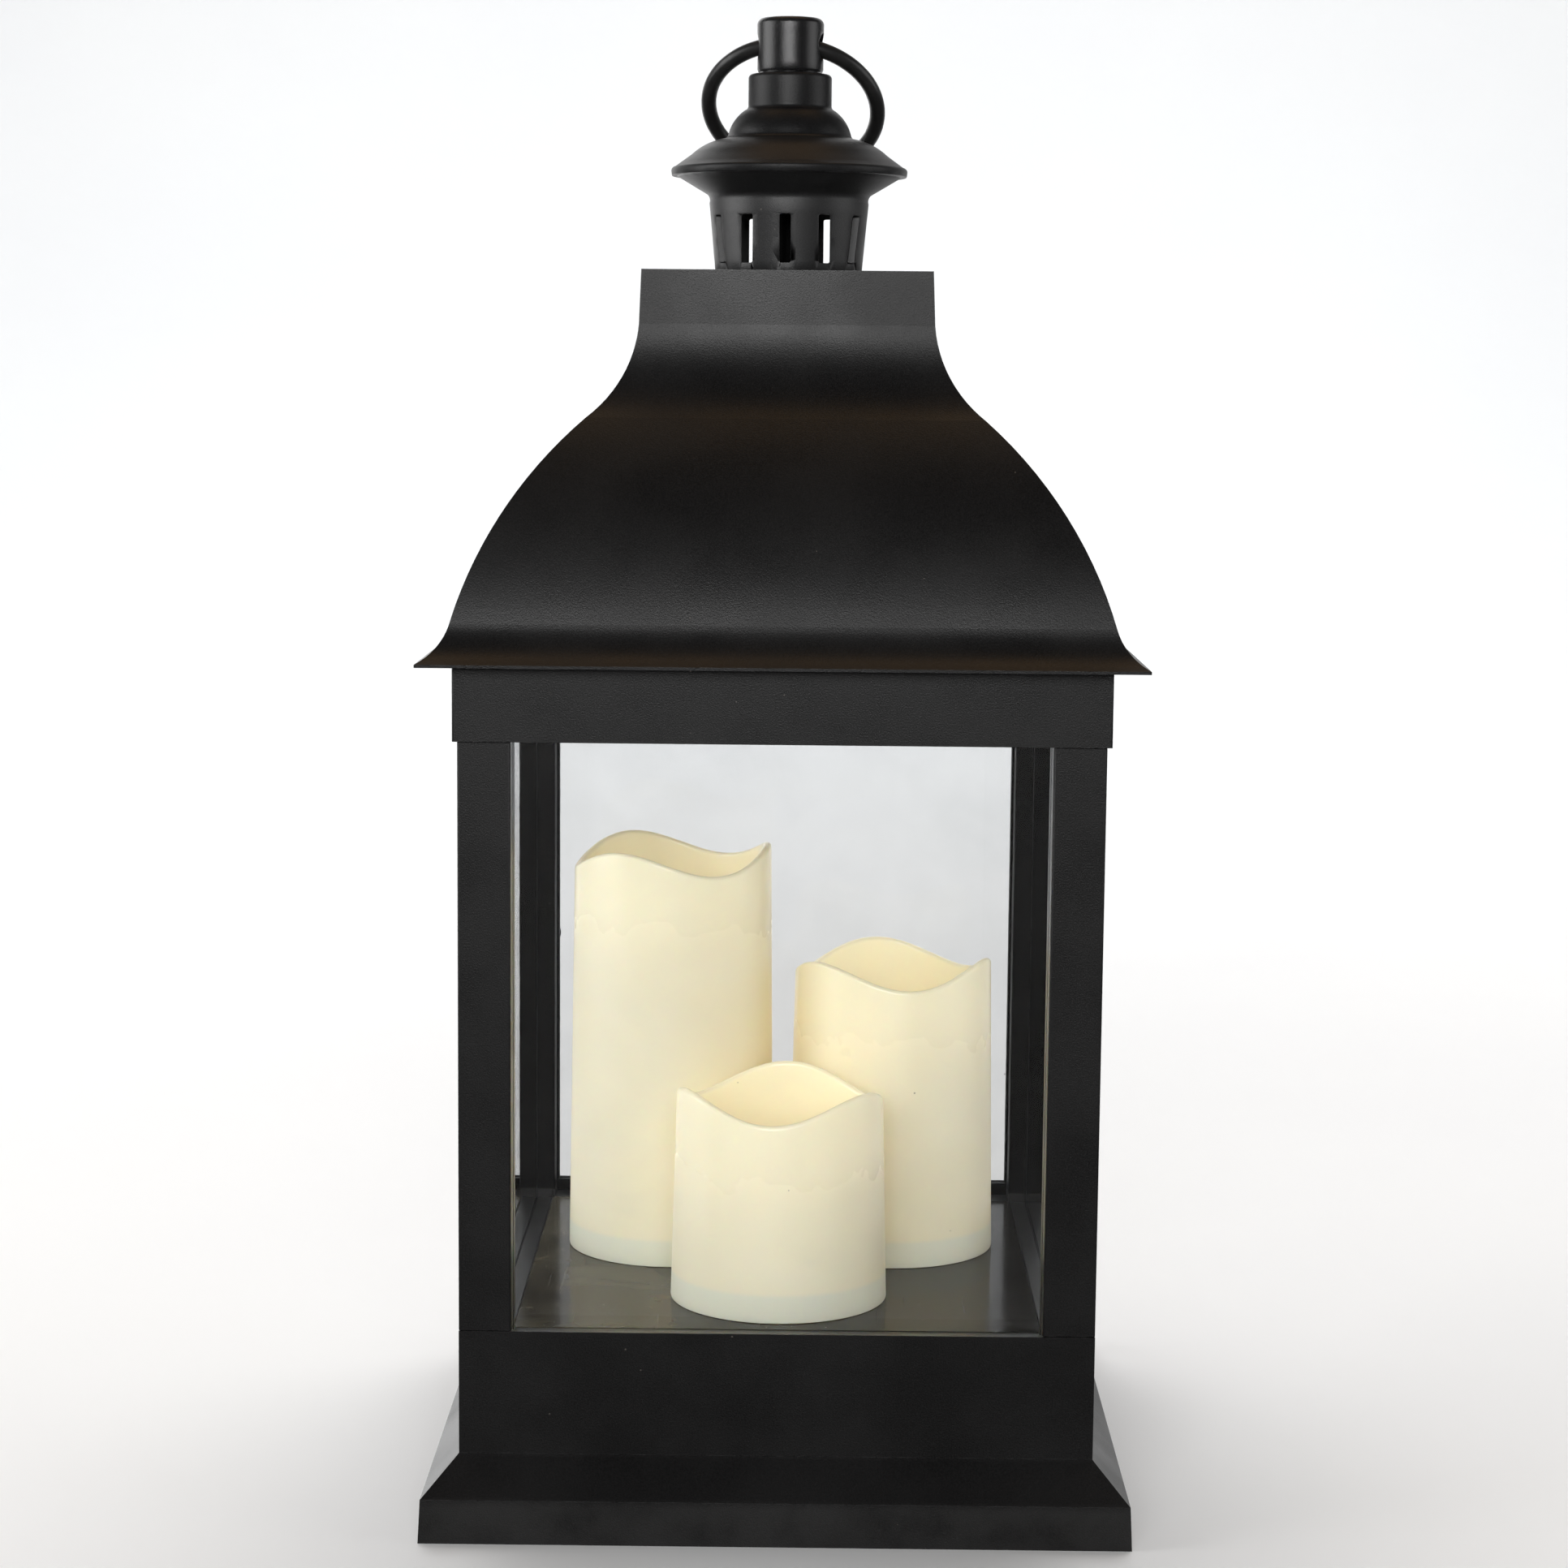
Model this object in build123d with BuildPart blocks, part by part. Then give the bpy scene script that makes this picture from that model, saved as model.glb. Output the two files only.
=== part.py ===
from build123d import *
import os
from math import cos, pi, radians, sin

# Candle lantern: a square cabin with clear panes on a stepped base, a bell roof with a round vented
# chimney, and a hanging ring. Three battery pillar candles stand inside.
# Millimetres. Origin: middle of the base's underside. +Z up, front towards -Y, door at the rear.

os.makedirs("parts", exist_ok=True)

# ---------------------------------------------------------------- driving dimensions
wall = 2.6                    # moulded wall thickness

plinth_half = 117.5           # half width of the base where it stands
plinth_height = 14.6
bevel_top = 26.1
block_half = 105.0            # block of the base, and the outer faces of the posts
block_top = 68.4
deck_top = 65.0
deck_underside = 60.2

panel_half = 88.5             # glossy floor panel let into the deck
panel_bottom = 63.0
panel_top = 65.2

post_side = 17.3
band_bottom = 264.3
band_half = 106.5
band_top = 289.1

eave_half = 117.4
roof_top = 417.1
roof_top_half = 48.8

pane_thickness = 2.0
pane_middle = 95.5            # from the lantern's middle to the middle of a pane
pane_into_post = 2.7
groove_play = 0.2

door_half = 97.4
door_thickness = 5.7
door_rail = 10.5
door_bottom = 58.9
door_top = 270.9
door_play = 0.8
hinge_pin_radius = 1.5
knob_height = 165.0

vent_foot_radius = 25.4
vent_neck_radius = 27.6
vent_wall = 2.0
slot_count = 12
slot_width = 3.85
slot_bottom = 420.2
slot_top = 436.6
slot_turn = -92.4             # angle of the slot nearest the front
slot_circle = 26.3            # the slots are evenly turned where they cross this radius
brim_radius = 40.9
collar_radius = 14.4
collar_top = 485.0
finial_radius = 11.5
finial_top = 504.0

ring_radius = 29.8            # to the middle of the rod
ring_rod = 2.65
ring_hole_height = 494.3
ring_hole_radius = 4.9
ring_twist = -6.9             # the finial's hole is turned this far from +X
ring_lean = 47.3              # the resting ring leans back this far from hanging straight down
ring_rise = 1.3               # middle of the rod above the hole's middle, where the ring is highest
ring_side = -1.6              # the ring stands this far off centre in its hole

candle_foot_radius = 37.4
candle_top_radius = 35.6
candle_wall = 2.4
candle_foot = panel_top + 0.05
rim_wave = 4.0                # the rim rises and falls this much
well_depth = 30.0             # from the rim's mean height
# name: middle x, middle y, mean height of the rim above the candle's foot, angle of the first crest
candles = {
    "tall": (-40.0, 24.8, 144.2, 0.0),
    "medium": (40.3, 26.2, 104.1, 100.0),
    "short": (0.0, -44.8, 71.3, 85.0),
}

# ---------------------------------------------------------------- worked-out dimensions
post_inner = block_half - post_side
post_middle = block_half - post_side / 2
rebate_half = door_half + door_play
rebate_front = block_half - door_thickness - 0.5
door_front = block_half - door_thickness
rebate_bottom = door_bottom - 0.5
rebate_top = door_top + 0.5
hinge_x = door_half - door_thickness / 2
hinge_y = block_half - door_thickness / 2
band_channel_floor = 276.0
groove_bottom = 61.4
groove_top = 267.5
screw_radius = 1.75
rear_screw = (98.3, 95.0)     # clear of the door's rebate


def write(part, node):
    """Label one finished piece and write its STEP file."""
    part.label = node
    export_step(part, f"parts/{node}.step")
    print(node, round(part.volume), "mm3")


def square_outline(points):
    """Closed outline symmetric about the vertical axis, from (half width, height) points of one side."""
    right = [(x, z) for x, z in points]
    left = [(-x, z) for x, z in reversed(points)]
    Polyline(*right, *left, close=True)


def corners(x, y):
    """The four places mirrored in both vertical planes."""
    return [(sx * x, sy * y) for sx in (-1, 1) for sy in (-1, 1)]


def screw_places():
    """Middle of each corner post's screws: front posts, then rear posts."""
    front = [(sx * post_middle, -post_middle) for sx in (-1, 1)]
    rear = [(sx * rear_screw[0], rear_screw[1]) for sx in (-1, 1)]
    return front + rear


# ---------------------------------------------------------------- base
base_points = [
    (plinth_half, 0),
    (plinth_half - 0.7, plinth_height),
    (block_half + 0.7, bevel_top),
    (block_half, bevel_top + 0.8),
    (block_half, block_top),
]
hollow_points = [
    (plinth_half - wall, 0),
    (plinth_half - wall - 0.7, plinth_height - 1.2),
    (block_half - wall, bevel_top - 1.0),
    (block_half - wall, deck_underside),
]

# Two prisms crossed at right angles leave a mitred square body.
with BuildPart() as base_hollow:
    with BuildSketch(Plane.XZ):
        with BuildLine():
            square_outline(hollow_points)
        make_face()
    extrude(amount=plinth_half, both=True)
    with BuildSketch(Plane.YZ):
        with BuildLine():
            square_outline(hollow_points)
        make_face()
    extrude(amount=plinth_half, both=True, mode=Mode.INTERSECT)

with BuildPart() as base_shell:
    with BuildSketch(Plane.XZ):
        with BuildLine():
            square_outline(base_points)
        make_face()
    extrude(amount=plinth_half, both=True)
    with BuildSketch(Plane.YZ):
        with BuildLine():
            square_outline(base_points)
        make_face()
    extrude(amount=plinth_half, both=True, mode=Mode.INTERSECT)
    add(base_hollow.part, mode=Mode.SUBTRACT)
    # Low rim around the deck; the corner pads under the posts stay full height.
    with BuildSketch(Plane.XY.offset(deck_top)):
        Rectangle(2 * (block_half - wall), 2 * (block_half - wall))
        with Locations(*corners(block_half, block_half)):
            Rectangle(2 * post_side, 2 * post_side, mode=Mode.SUBTRACT)
    extrude(amount=block_top - deck_top, mode=Mode.SUBTRACT)
    # Recess for the floor panel.
    with BuildSketch(Plane.XY.offset(panel_bottom)):
        Rectangle(2 * panel_half + 0.2, 2 * panel_half + 0.2)
    extrude(amount=block_top - panel_bottom, mode=Mode.SUBTRACT)
    # Pane grooves on the front and both sides.
    with BuildSketch(Plane.XY.offset(groove_bottom)):
        with Locations((0, -pane_middle)):
            Rectangle(2 * (post_inner + 3), pane_thickness + 2 * groove_play)
        with Locations((-pane_middle, 0), (pane_middle, 0)):
            Rectangle(pane_thickness + 2 * groove_play, 2 * (post_inner + 3))
    extrude(amount=block_top - groove_bottom, mode=Mode.SUBTRACT)
    # Solid rail behind the door's rebate, then the rebate itself.
    with BuildSketch(Plane.XY.offset(50)):
        with Locations((0, 97.9)):
            Rectangle(2 * (block_half - wall), 10.2)
    extrude(amount=deck_underside - 50)
    with BuildSketch(Plane.XY.offset(rebate_bottom)):
        with Locations((0, (rebate_front + block_half + 1) / 2)):
            Rectangle(2 * rebate_half, block_half + 1 - rebate_front)
    extrude(amount=block_top, mode=Mode.SUBTRACT)
    with BuildSketch(Plane.XY.offset(rebate_bottom - 5)):
        with Locations((hinge_x, hinge_y)):
            Circle(hinge_pin_radius + 0.05)
    extrude(amount=6, mode=Mode.SUBTRACT)
    # Bosses for the screws that go up into the posts.
    with BuildSketch(Plane.XY.offset(50)):
        with Locations(*screw_places()):
            Circle(4.2)
    extrude(amount=deck_underside - 50)
    with BuildSketch(Plane.XY.offset(49)):
        with Locations(*screw_places()):
            Circle(screw_radius + 0.15)
    extrude(amount=block_top - 48, mode=Mode.SUBTRACT)
write(base_shell.part, "base_shell")

with BuildPart() as floor_panel:
    with BuildSketch(Plane.XY.offset(panel_bottom)):
        RectangleRounded(2 * panel_half, 2 * panel_half, 0.8)
    extrude(amount=panel_top - panel_bottom)
    chamfer(floor_panel.faces().sort_by(Axis.Z)[-1].edges(), 0.5)
write(floor_panel.part, "floor_panel")


# ---------------------------------------------------------------- corner posts
def make_post(side_x, side_y, node):
    """Square post with grooves for its panes; a rear post has a rebate for the door instead of one."""
    x_middle = side_x * post_middle
    y_middle = side_y * post_middle
    groove = pane_thickness + 2 * groove_play
    rear = side_y > 0
    with BuildPart() as post:
        with BuildSketch(Plane.XY.offset(block_top)):
            with Locations((x_middle, y_middle)):
                RectangleRounded(post_side, post_side, 0.6)
            with Locations((side_x * pane_middle, side_y * post_inner)):
                Rectangle(groove, 6, mode=Mode.SUBTRACT)
            if rear:
                with Locations((side_x * rebate_half, block_half)):
                    Rectangle(
                        40, 2 * (block_half - rebate_front),
                        align=(Align.MAX if side_x > 0 else Align.MIN, Align.CENTER), mode=Mode.SUBTRACT,
                    )
            else:
                with Locations((side_x * post_inner, side_y * pane_middle)):
                    Rectangle(6, groove, mode=Mode.SUBTRACT)
        extrude(amount=band_bottom - block_top)
        ends = post.faces().filter_by(Axis.Z)
        outer = [e for e in ends.edges() if abs(e.center().X) > block_half - 0.05
                 or (abs(e.center().Y) > block_half - 0.05 and not rear)]
        chamfer(outer, 0.35)
        places = [p for p in screw_places() if p[0] * side_x > 0 and p[1] * side_y > 0]
        with BuildSketch(Plane.XY.offset(block_top)):
            with Locations(*places):
                Circle(screw_radius)
        extrude(amount=16, mode=Mode.SUBTRACT)
        with BuildSketch(Plane.XY.offset(band_bottom - 16)):
            with Locations(*places):
                Circle(screw_radius)
        extrude(amount=16, mode=Mode.SUBTRACT)
    write(post.part, node)


make_post(-1, -1, "post_front_left")
make_post(1, -1, "post_front_right")
make_post(-1, 1, "post_rear_left")
make_post(1, 1, "post_rear_right")

# ---------------------------------------------------------------- header band
gusset_half = post_inner + 0.5
gusset_side = 14.0
roof_screw_at = 80.5

with BuildPart() as header_band:
    with BuildSketch(Plane.XY.offset(band_bottom)):
        RectangleRounded(2 * band_half, 2 * band_half, 0.6)
        Rectangle(2 * post_inner, 2 * post_inner, mode=Mode.SUBTRACT)
    extrude(amount=band_top - band_bottom)
    with BuildSketch(Plane.XY.offset(band_channel_floor)):
        Rectangle(2 * (band_half - wall), 2 * (band_half - wall))
        Rectangle(2 * (post_inner + wall), 2 * (post_inner + wall), mode=Mode.SUBTRACT)
    extrude(amount=band_top, mode=Mode.SUBTRACT)
    # Corner gussets that take the roof's screws.
    with BuildSketch(Plane.XY.offset(band_top - wall)):
        Rectangle(2 * gusset_half, 2 * gusset_half)
        reach = gusset_half - gusset_side
        Rectangle(2 * gusset_half, 2 * reach, mode=Mode.SUBTRACT)
        Rectangle(2 * reach, 2 * gusset_half, mode=Mode.SUBTRACT)
        with Locations(*corners(roof_screw_at, roof_screw_at)):
            Circle(1.7, mode=Mode.SUBTRACT)
    extrude(amount=wall)
    # Pane grooves from below, the door's rebate, hinge hole and screw holes.
    with BuildSketch(Plane.XY.offset(band_bottom)):
        with Locations((0, -pane_middle)):
            Rectangle(2 * (post_inner + 3), pane_thickness + 2 * groove_play)
        with Locations((-pane_middle, 0), (pane_middle, 0)):
            Rectangle(pane_thickness + 2 * groove_play, 2 * (post_inner + 3))
    extrude(amount=groove_top - band_bottom, mode=Mode.SUBTRACT)
    with BuildSketch(Plane.XY.offset(band_bottom)):
        with Locations((0, (rebate_front + band_half + 1) / 2)):
            Rectangle(2 * rebate_half, band_half + 1 - rebate_front)
    extrude(amount=rebate_top - band_bottom, mode=Mode.SUBTRACT)
    with BuildSketch(Plane.XY.offset(rebate_top)):
        with Locations((hinge_x, hinge_y)):
            Circle(hinge_pin_radius + 0.05)
    extrude(amount=5, mode=Mode.SUBTRACT)
    with BuildSketch(Plane.XY.offset(band_bottom)):
        with Locations(*screw_places()):
            Circle(screw_radius + 0.15)
    extrude(amount=13, mode=Mode.SUBTRACT)
write(header_band.part, "header_band")


# ---------------------------------------------------------------- roof
def roof_outline():
    """One side of the roof's outline from the eave up: eave edge, cove, belly, sweep and neck."""
    cove_top = (107.1, 302.6)
    belly_top = (66.0, 368.0)
    sweep_top = (roof_top_half + 0.7, 399.0)
    Line((eave_half, band_top), (eave_half, band_top + 1.0))
    ThreePointArc((eave_half, band_top + 1.0), (110.9, 295.3), cove_top)
    ThreePointArc(cove_top, (93.1, 335.1), belly_top)
    ThreePointArc(belly_top, (54.25, 382.3), sweep_top)
    Line(sweep_top, (roof_top_half, roof_top))


with BuildSketch() as roof_section:
    with BuildLine():
        roof_outline()
        Line((roof_top_half, roof_top), (0, roof_top))
        Line((0, band_top), (eave_half, band_top))
        mirror(about=Plane.YZ)
    make_face()

with BuildSketch() as roof_hollow_section:
    add(roof_section.sketch)
    offset(amount=-wall, kind=Kind.INTERSECTION, mode=Mode.REPLACE)
    with Locations((0, band_top + wall)):
        Rectangle(2 * (band_half - wall), 4 * wall)

# As in the base, crossed prisms make the mitred body and its hollow.
with BuildPart() as roof_body:
    with BuildSketch(Plane.XZ):
        add(roof_section.sketch)
    extrude(amount=eave_half, both=True)
    with BuildSketch(Plane.YZ):
        add(roof_section.sketch)
    extrude(amount=eave_half, both=True, mode=Mode.INTERSECT)

with BuildPart() as roof_hollow:
    with BuildSketch(Plane.XZ):
        add(roof_hollow_section.sketch)
    extrude(amount=eave_half, both=True)
    with BuildSketch(Plane.YZ):
        add(roof_hollow_section.sketch)
    extrude(amount=eave_half, both=True, mode=Mode.INTERSECT)

# Screw bosses in the corners, cut off where they would come through the roof.
with BuildPart() as roof_bosses:
    with BuildSketch(Plane.XY.offset(band_top)):
        with Locations(*corners(roof_screw_at, roof_screw_at)):
            Circle(4.0)
    extrude(amount=56)
    add(roof_body.part, mode=Mode.INTERSECT)

with BuildPart() as roof_shell:
    add(roof_body.part)
    add(roof_hollow.part, mode=Mode.SUBTRACT)
    add(roof_bosses.part)
    with BuildSketch(Plane.XY.offset(band_top)):
        with Locations(*corners(roof_screw_at, roof_screw_at)):
            Circle(1.5)
    extrude(amount=16, mode=Mode.SUBTRACT)
    # Rod hole and four air openings under the chimney.
    with BuildSketch(Plane.XY.offset(roof_top - 2 * wall)):
        Circle(20.0)
        Circle(8.0, mode=Mode.SUBTRACT)
        Rectangle(50, 6, mode=Mode.SUBTRACT)
        Rectangle(6, 50, mode=Mode.SUBTRACT)
        Circle(2.2)
    extrude(amount=3 * wall, mode=Mode.SUBTRACT)
write(roof_shell.part, "roof_shell")

# ---------------------------------------------------------------- panes
pane_half = post_inner + pane_into_post
pane_foot = groove_bottom + 0.3
pane_head = groove_top - 0.5


def make_pane(x, y, along_x, node):
    """Flat clear pane, upright, in its grooves."""
    size_x = 2 * pane_half if along_x else pane_thickness
    size_y = pane_thickness if along_x else 2 * pane_half
    with BuildPart() as pane:
        with BuildSketch(Plane.XY.offset(pane_foot)):
            with Locations((x, y)):
                Rectangle(size_x, size_y)
        extrude(amount=pane_head - pane_foot)
    write(pane.part, node)


make_pane(0, -pane_middle, True, "pane_front")
make_pane(-pane_middle, 0, False, "pane_left")
make_pane(pane_middle, 0, False, "pane_right")

# ---------------------------------------------------------------- door
door_middle_height = (door_bottom + door_top) / 2
door_height = door_top - door_bottom
knob_x = -(door_half - door_rail / 2)
door_plane = Plane(origin=(0, hinge_y, door_middle_height), x_dir=(1, 0, 0), z_dir=(0, -1, 0))

with BuildPart() as door_frame:
    with BuildSketch(door_plane):
        Rectangle(2 * door_half, door_height)
        Rectangle(2 * (door_half - door_rail), door_height - 2 * door_rail, mode=Mode.SUBTRACT)
    extrude(amount=door_thickness / 2, both=True)
    hinge_edges = door_frame.edges().filter_by(Axis.Z).group_by(Axis.X)[-1]
    fillet(hinge_edges, door_thickness / 2 - 0.01)
    # Groove that holds the pane all round.
    with BuildSketch(door_plane):
        Rectangle(2 * (door_half - door_rail) + 5.6, door_height - 2 * door_rail + 5.6)
    extrude(amount=pane_thickness / 2, both=True, mode=Mode.SUBTRACT)
    with BuildSketch(Plane.XY.offset(door_bottom)):
        with Locations((hinge_x, hinge_y)):
            Circle(hinge_pin_radius)
    extrude(amount=4, mode=Mode.SUBTRACT)
    with BuildSketch(Plane.XY.offset(door_top - 4)):
        with Locations((hinge_x, hinge_y)):
            Circle(hinge_pin_radius)
    extrude(amount=4, mode=Mode.SUBTRACT)
    with BuildSketch(Plane.XZ.offset(-door_front)):
        with Locations((knob_x, knob_height)):
            Circle(1.3)
    extrude(amount=-door_thickness, mode=Mode.SUBTRACT)
write(door_frame.part, "door_frame")

with BuildPart() as door_pane:
    with BuildSketch(door_plane):
        Rectangle(2 * (door_half - door_rail) + 5.2, door_height - 2 * door_rail + 5.2)
    extrude(amount=pane_thickness / 2, both=True)
write(door_pane.part, "door_pane")

with BuildPart() as door_hinge_pins:
    for start in (door_bottom - 4.0, door_top - 4.0):
        with BuildSketch(Plane.XY.offset(start)):
            with Locations((hinge_x, hinge_y)):
                Circle(hinge_pin_radius)
        extrude(amount=8.0)
write(door_hinge_pins.part, "door_hinge_pins")

knob_plane = Plane(origin=(knob_x, block_half, knob_height), x_dir=(1, 0, 0), z_dir=(0, 0, 1))
with BuildPart() as door_knob:
    with BuildSketch(knob_plane):
        with BuildLine():
            Polyline((0, 0), (3.4, 0), (3.0, 2.6), (4.8, 4.4))
            ThreePointArc((4.8, 4.4), (4.9, 6.8), (2.8, 8.2))
            Polyline((2.8, 8.2), (0, 8.4), (0, 0))
        make_face()
    revolve(axis=Axis((knob_x, 0, knob_height), (0, 1, 0)))
    with BuildSketch(Plane.XZ.offset(-block_half)):
        with Locations((knob_x, knob_height)):
            Circle(1.3)
    extrude(amount=-5, mode=Mode.SUBTRACT)
write(door_knob.part, "door_knob")


# ---------------------------------------------------------------- screws
def make_screws(places, head_face, tip, radius, head_radius, head_height, node):
    """Upright screws at the given places: pan heads with a cross slot, shanks from head_face to tip."""
    up = 1 if tip > head_face else -1
    with BuildPart() as screws:
        with BuildSketch(Plane.XY.offset(head_face)):
            with Locations(*places):
                Circle(head_radius)
        extrude(amount=-up * head_height)
        with BuildSketch(Plane.XY.offset(head_face)):
            with Locations(*places):
                Circle(radius)
        extrude(amount=tip - head_face)
        with BuildSketch(Plane.XY.offset(head_face - up * head_height)):
            with Locations(*places):
                Rectangle(1.4 * head_radius, 0.6)
                Rectangle(0.6, 1.4 * head_radius)
        extrude(amount=up * 0.5 * head_height, mode=Mode.SUBTRACT)
    write(screws.part, node)


with BuildPart() as door_knob_screw:
    with BuildSketch(Plane.XZ.offset(-door_front)):
        with Locations((knob_x, knob_height)):
            Circle(1.3)
    extrude(amount=-(door_thickness + 4.5))
    with BuildSketch(Plane.XZ.offset(-door_front)):
        with Locations((knob_x, knob_height)):
            Circle(2.4)
    extrude(amount=0.4)
write(door_knob_screw.part, "door_knob_screw")

with BuildPart() as door_catch:
    with BuildSketch(Plane.XY.offset(knob_height - 7)):
        with BuildLine():
            Polyline((-rebate_half, 99.6), (-rebate_half + 0.3, 99.6), (-rebate_half + 0.3, 101.0))
            ThreePointArc((-rebate_half + 0.3, 101.0), (-rebate_half + 0.5, 102.0), (-rebate_half + 0.3, 103.0))
            Polyline((-rebate_half + 0.3, 103.0), (-rebate_half + 0.3, 104.4), (-rebate_half, 104.4),
                     (-rebate_half, 99.6))
        make_face()
    extrude(amount=14)
write(door_catch.part, "door_catch")

make_screws(screw_places(), 50, block_top + 14, screw_radius, 3.4, 2.2, "post_foot_screws")
make_screws(screw_places(), band_channel_floor, band_bottom - 14, screw_radius, 3.4, 2.2, "post_top_screws")
make_screws(corners(roof_screw_at, roof_screw_at), band_top - wall, band_top + 13, 1.5, 3.0, 2.0, "roof_screws")

# ---------------------------------------------------------------- chimney
neck_top = 441.0
flare_start = (28.4, 444.0)
flare_edge = (38.9, 450.2)
brim_underside = 450.2

with BuildPart() as chimney_vent:
    with BuildSketch(Plane.XZ):
        with BuildLine():
            Line((vent_foot_radius, roof_top), (vent_neck_radius, neck_top))
            ThreePointArc((vent_neck_radius, neck_top), (27.6, 442.8), flare_start)
            Line(flare_start, flare_edge)
            Line(flare_edge, (flare_edge[0] - 3.4, flare_edge[1]))
            Line((flare_edge[0] - 3.4, flare_edge[1]), (flare_start[0] - 2.2, flare_start[1] + 0.7))
            ThreePointArc((flare_start[0] - 2.2, flare_start[1] + 0.7), (25.6, 443.2),
                          (vent_neck_radius - vent_wall, neck_top))
            Line((vent_neck_radius - vent_wall, neck_top), (vent_foot_radius - vent_wall, roof_top))
            Line((vent_foot_radius - vent_wall, roof_top), (vent_foot_radius, roof_top))
        make_face()
    revolve()
    # Each slot is a straight cut, as a mould's four slides leave it: along Y at the front and rear, along X
    # at the sides.
    slot_height = slot_top - slot_bottom
    slot_middle = (slot_top + slot_bottom) / 2
    for k in range(slot_count):
        turn = radians(slot_turn + 360 / slot_count * k)
        slot_x = slot_circle * cos(turn)
        slot_y = slot_circle * sin(turn)
        if abs(slot_y) > abs(slot_x):
            slide_plane = Plane(origin=(slot_x, 0, slot_middle), x_dir=(1, 0, 0), z_dir=(0, slot_y, 0))
        else:
            slide_plane = Plane(origin=(0, slot_y, slot_middle), x_dir=(0, 1, 0), z_dir=(slot_x, 0, 0))
        with BuildSketch(slide_plane):
            RectangleRounded(slot_width, slot_height, 0.7)
        extrude(amount=40, mode=Mode.SUBTRACT)
write(chimney_vent.part, "chimney_vent")

with BuildPart() as chimney_cap:
    with BuildSketch(Plane.XZ):
        with BuildLine():
            Line((0, collar_top), (collar_radius - 1.5, collar_top))
            ThreePointArc((collar_radius - 1.5, collar_top), (collar_radius - 0.44, collar_top - 0.44),
                          (collar_radius, collar_top - 1.5))
            Line((collar_radius, collar_top - 1.5), (collar_radius, 474.6))
            ThreePointArc((collar_radius, 474.6), (14.6, 473.5), (15.6, 472.7))
            ThreePointArc((15.6, 472.7), (19.5, 468.6), (21.3, 464.2))
            ThreePointArc((21.3, 464.2), (21.7, 463.5), (22.5, 463.0))
            ThreePointArc((22.5, 463.0), (29.2, 460.8), (34.0, 457.4))
            Line((34.0, 457.4), (brim_radius - 1.2, 453.3))
            ThreePointArc((brim_radius - 1.2, 453.3), (brim_radius - 0.3, 452.8), (brim_radius, 451.9))
            Line((brim_radius, 451.9), (brim_radius - 0.2, brim_underside))
            Line((brim_radius - 0.2, brim_underside), (34.5, brim_underside))
            Line((34.5, brim_underside), (32.2, 456.1))
            ThreePointArc((32.2, 456.1), (27.8, 459.0), (20.0, 461.4))
            ThreePointArc((20.0, 461.4), (17.8, 467.3), (13.4, 471.6))
            Line((13.4, 471.6), (11.8, 474.6))
            Line((11.8, 474.6), (11.8, collar_top - 2.5))
            Line((11.8, collar_top - 2.5), (0, collar_top - 2.5))
            Line((0, collar_top - 2.5), (0, collar_top))
        make_face()
    revolve()
    with BuildSketch(Plane.XY.offset(collar_top - 3)):
        Circle(2.2)
    extrude(amount=4, mode=Mode.SUBTRACT)
write(chimney_cap.part, "chimney_cap")

with BuildPart() as chimney_spacer:
    with BuildSketch(Plane.XY.offset(roof_top)):
        Circle(5.0)
        Circle(2.3, mode=Mode.SUBTRACT)
    extrude(amount=collar_top - 2.5 - roof_top)
write(chimney_spacer.part, "chimney_spacer")

rod_top = 488.2
with BuildPart() as chimney_rod:
    with BuildSketch(Plane.XY.offset(roof_top - wall - 6.5)):
        Circle(2.0)
    extrude(amount=rod_top - (roof_top - wall - 6.5))
    chamfer(chimney_rod.edges(), 0.3)
write(chimney_rod.part, "chimney_rod")

with BuildPart() as chimney_washer:
    with BuildSketch(Plane.XY.offset(roof_top - wall - 1.0)):
        Circle(6.0)
        Circle(2.15, mode=Mode.SUBTRACT)
    extrude(amount=1.0)
write(chimney_washer.part, "chimney_washer")

with BuildPart() as chimney_nut:
    with BuildSketch(Plane.XY.offset(roof_top - wall - 4.2)):
        RegularPolygon(4.0, 6)
        Circle(2.0, mode=Mode.SUBTRACT)
    extrude(amount=3.2)
write(chimney_nut.part, "chimney_nut")

finial_round = 2.3
twist = radians(ring_twist)
hole_along = Vector(cos(twist), sin(twist), 0)
with BuildPart() as finial:
    with BuildSketch(Plane.XZ):
        with BuildLine():
            Polyline((0, collar_top), (finial_radius - 1.3, collar_top), (finial_radius - 1.3, collar_top + 0.8),
                     (finial_radius - 0.4, collar_top + 0.8), (finial_radius - 0.1, collar_top + 1.6),
                     (finial_radius, finial_top - finial_round))
            RadiusArc((finial_radius, finial_top - finial_round), (finial_radius - finial_round, finial_top),
                      -finial_round)
            Polyline((finial_radius - finial_round, finial_top), (0, finial_top), (0, collar_top))
        make_face()
    revolve()
    with BuildSketch(Plane(origin=(0, 0, ring_hole_height), x_dir=(0, 0, 1), z_dir=hole_along)):
        Circle(ring_hole_radius)
    extrude(amount=20, both=True, mode=Mode.SUBTRACT)
    with BuildSketch(Plane.XY.offset(collar_top)):
        Circle(2.0)
    extrude(amount=rod_top + 0.2 - collar_top, mode=Mode.SUBTRACT)
write(finial.part, "finial")

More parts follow.
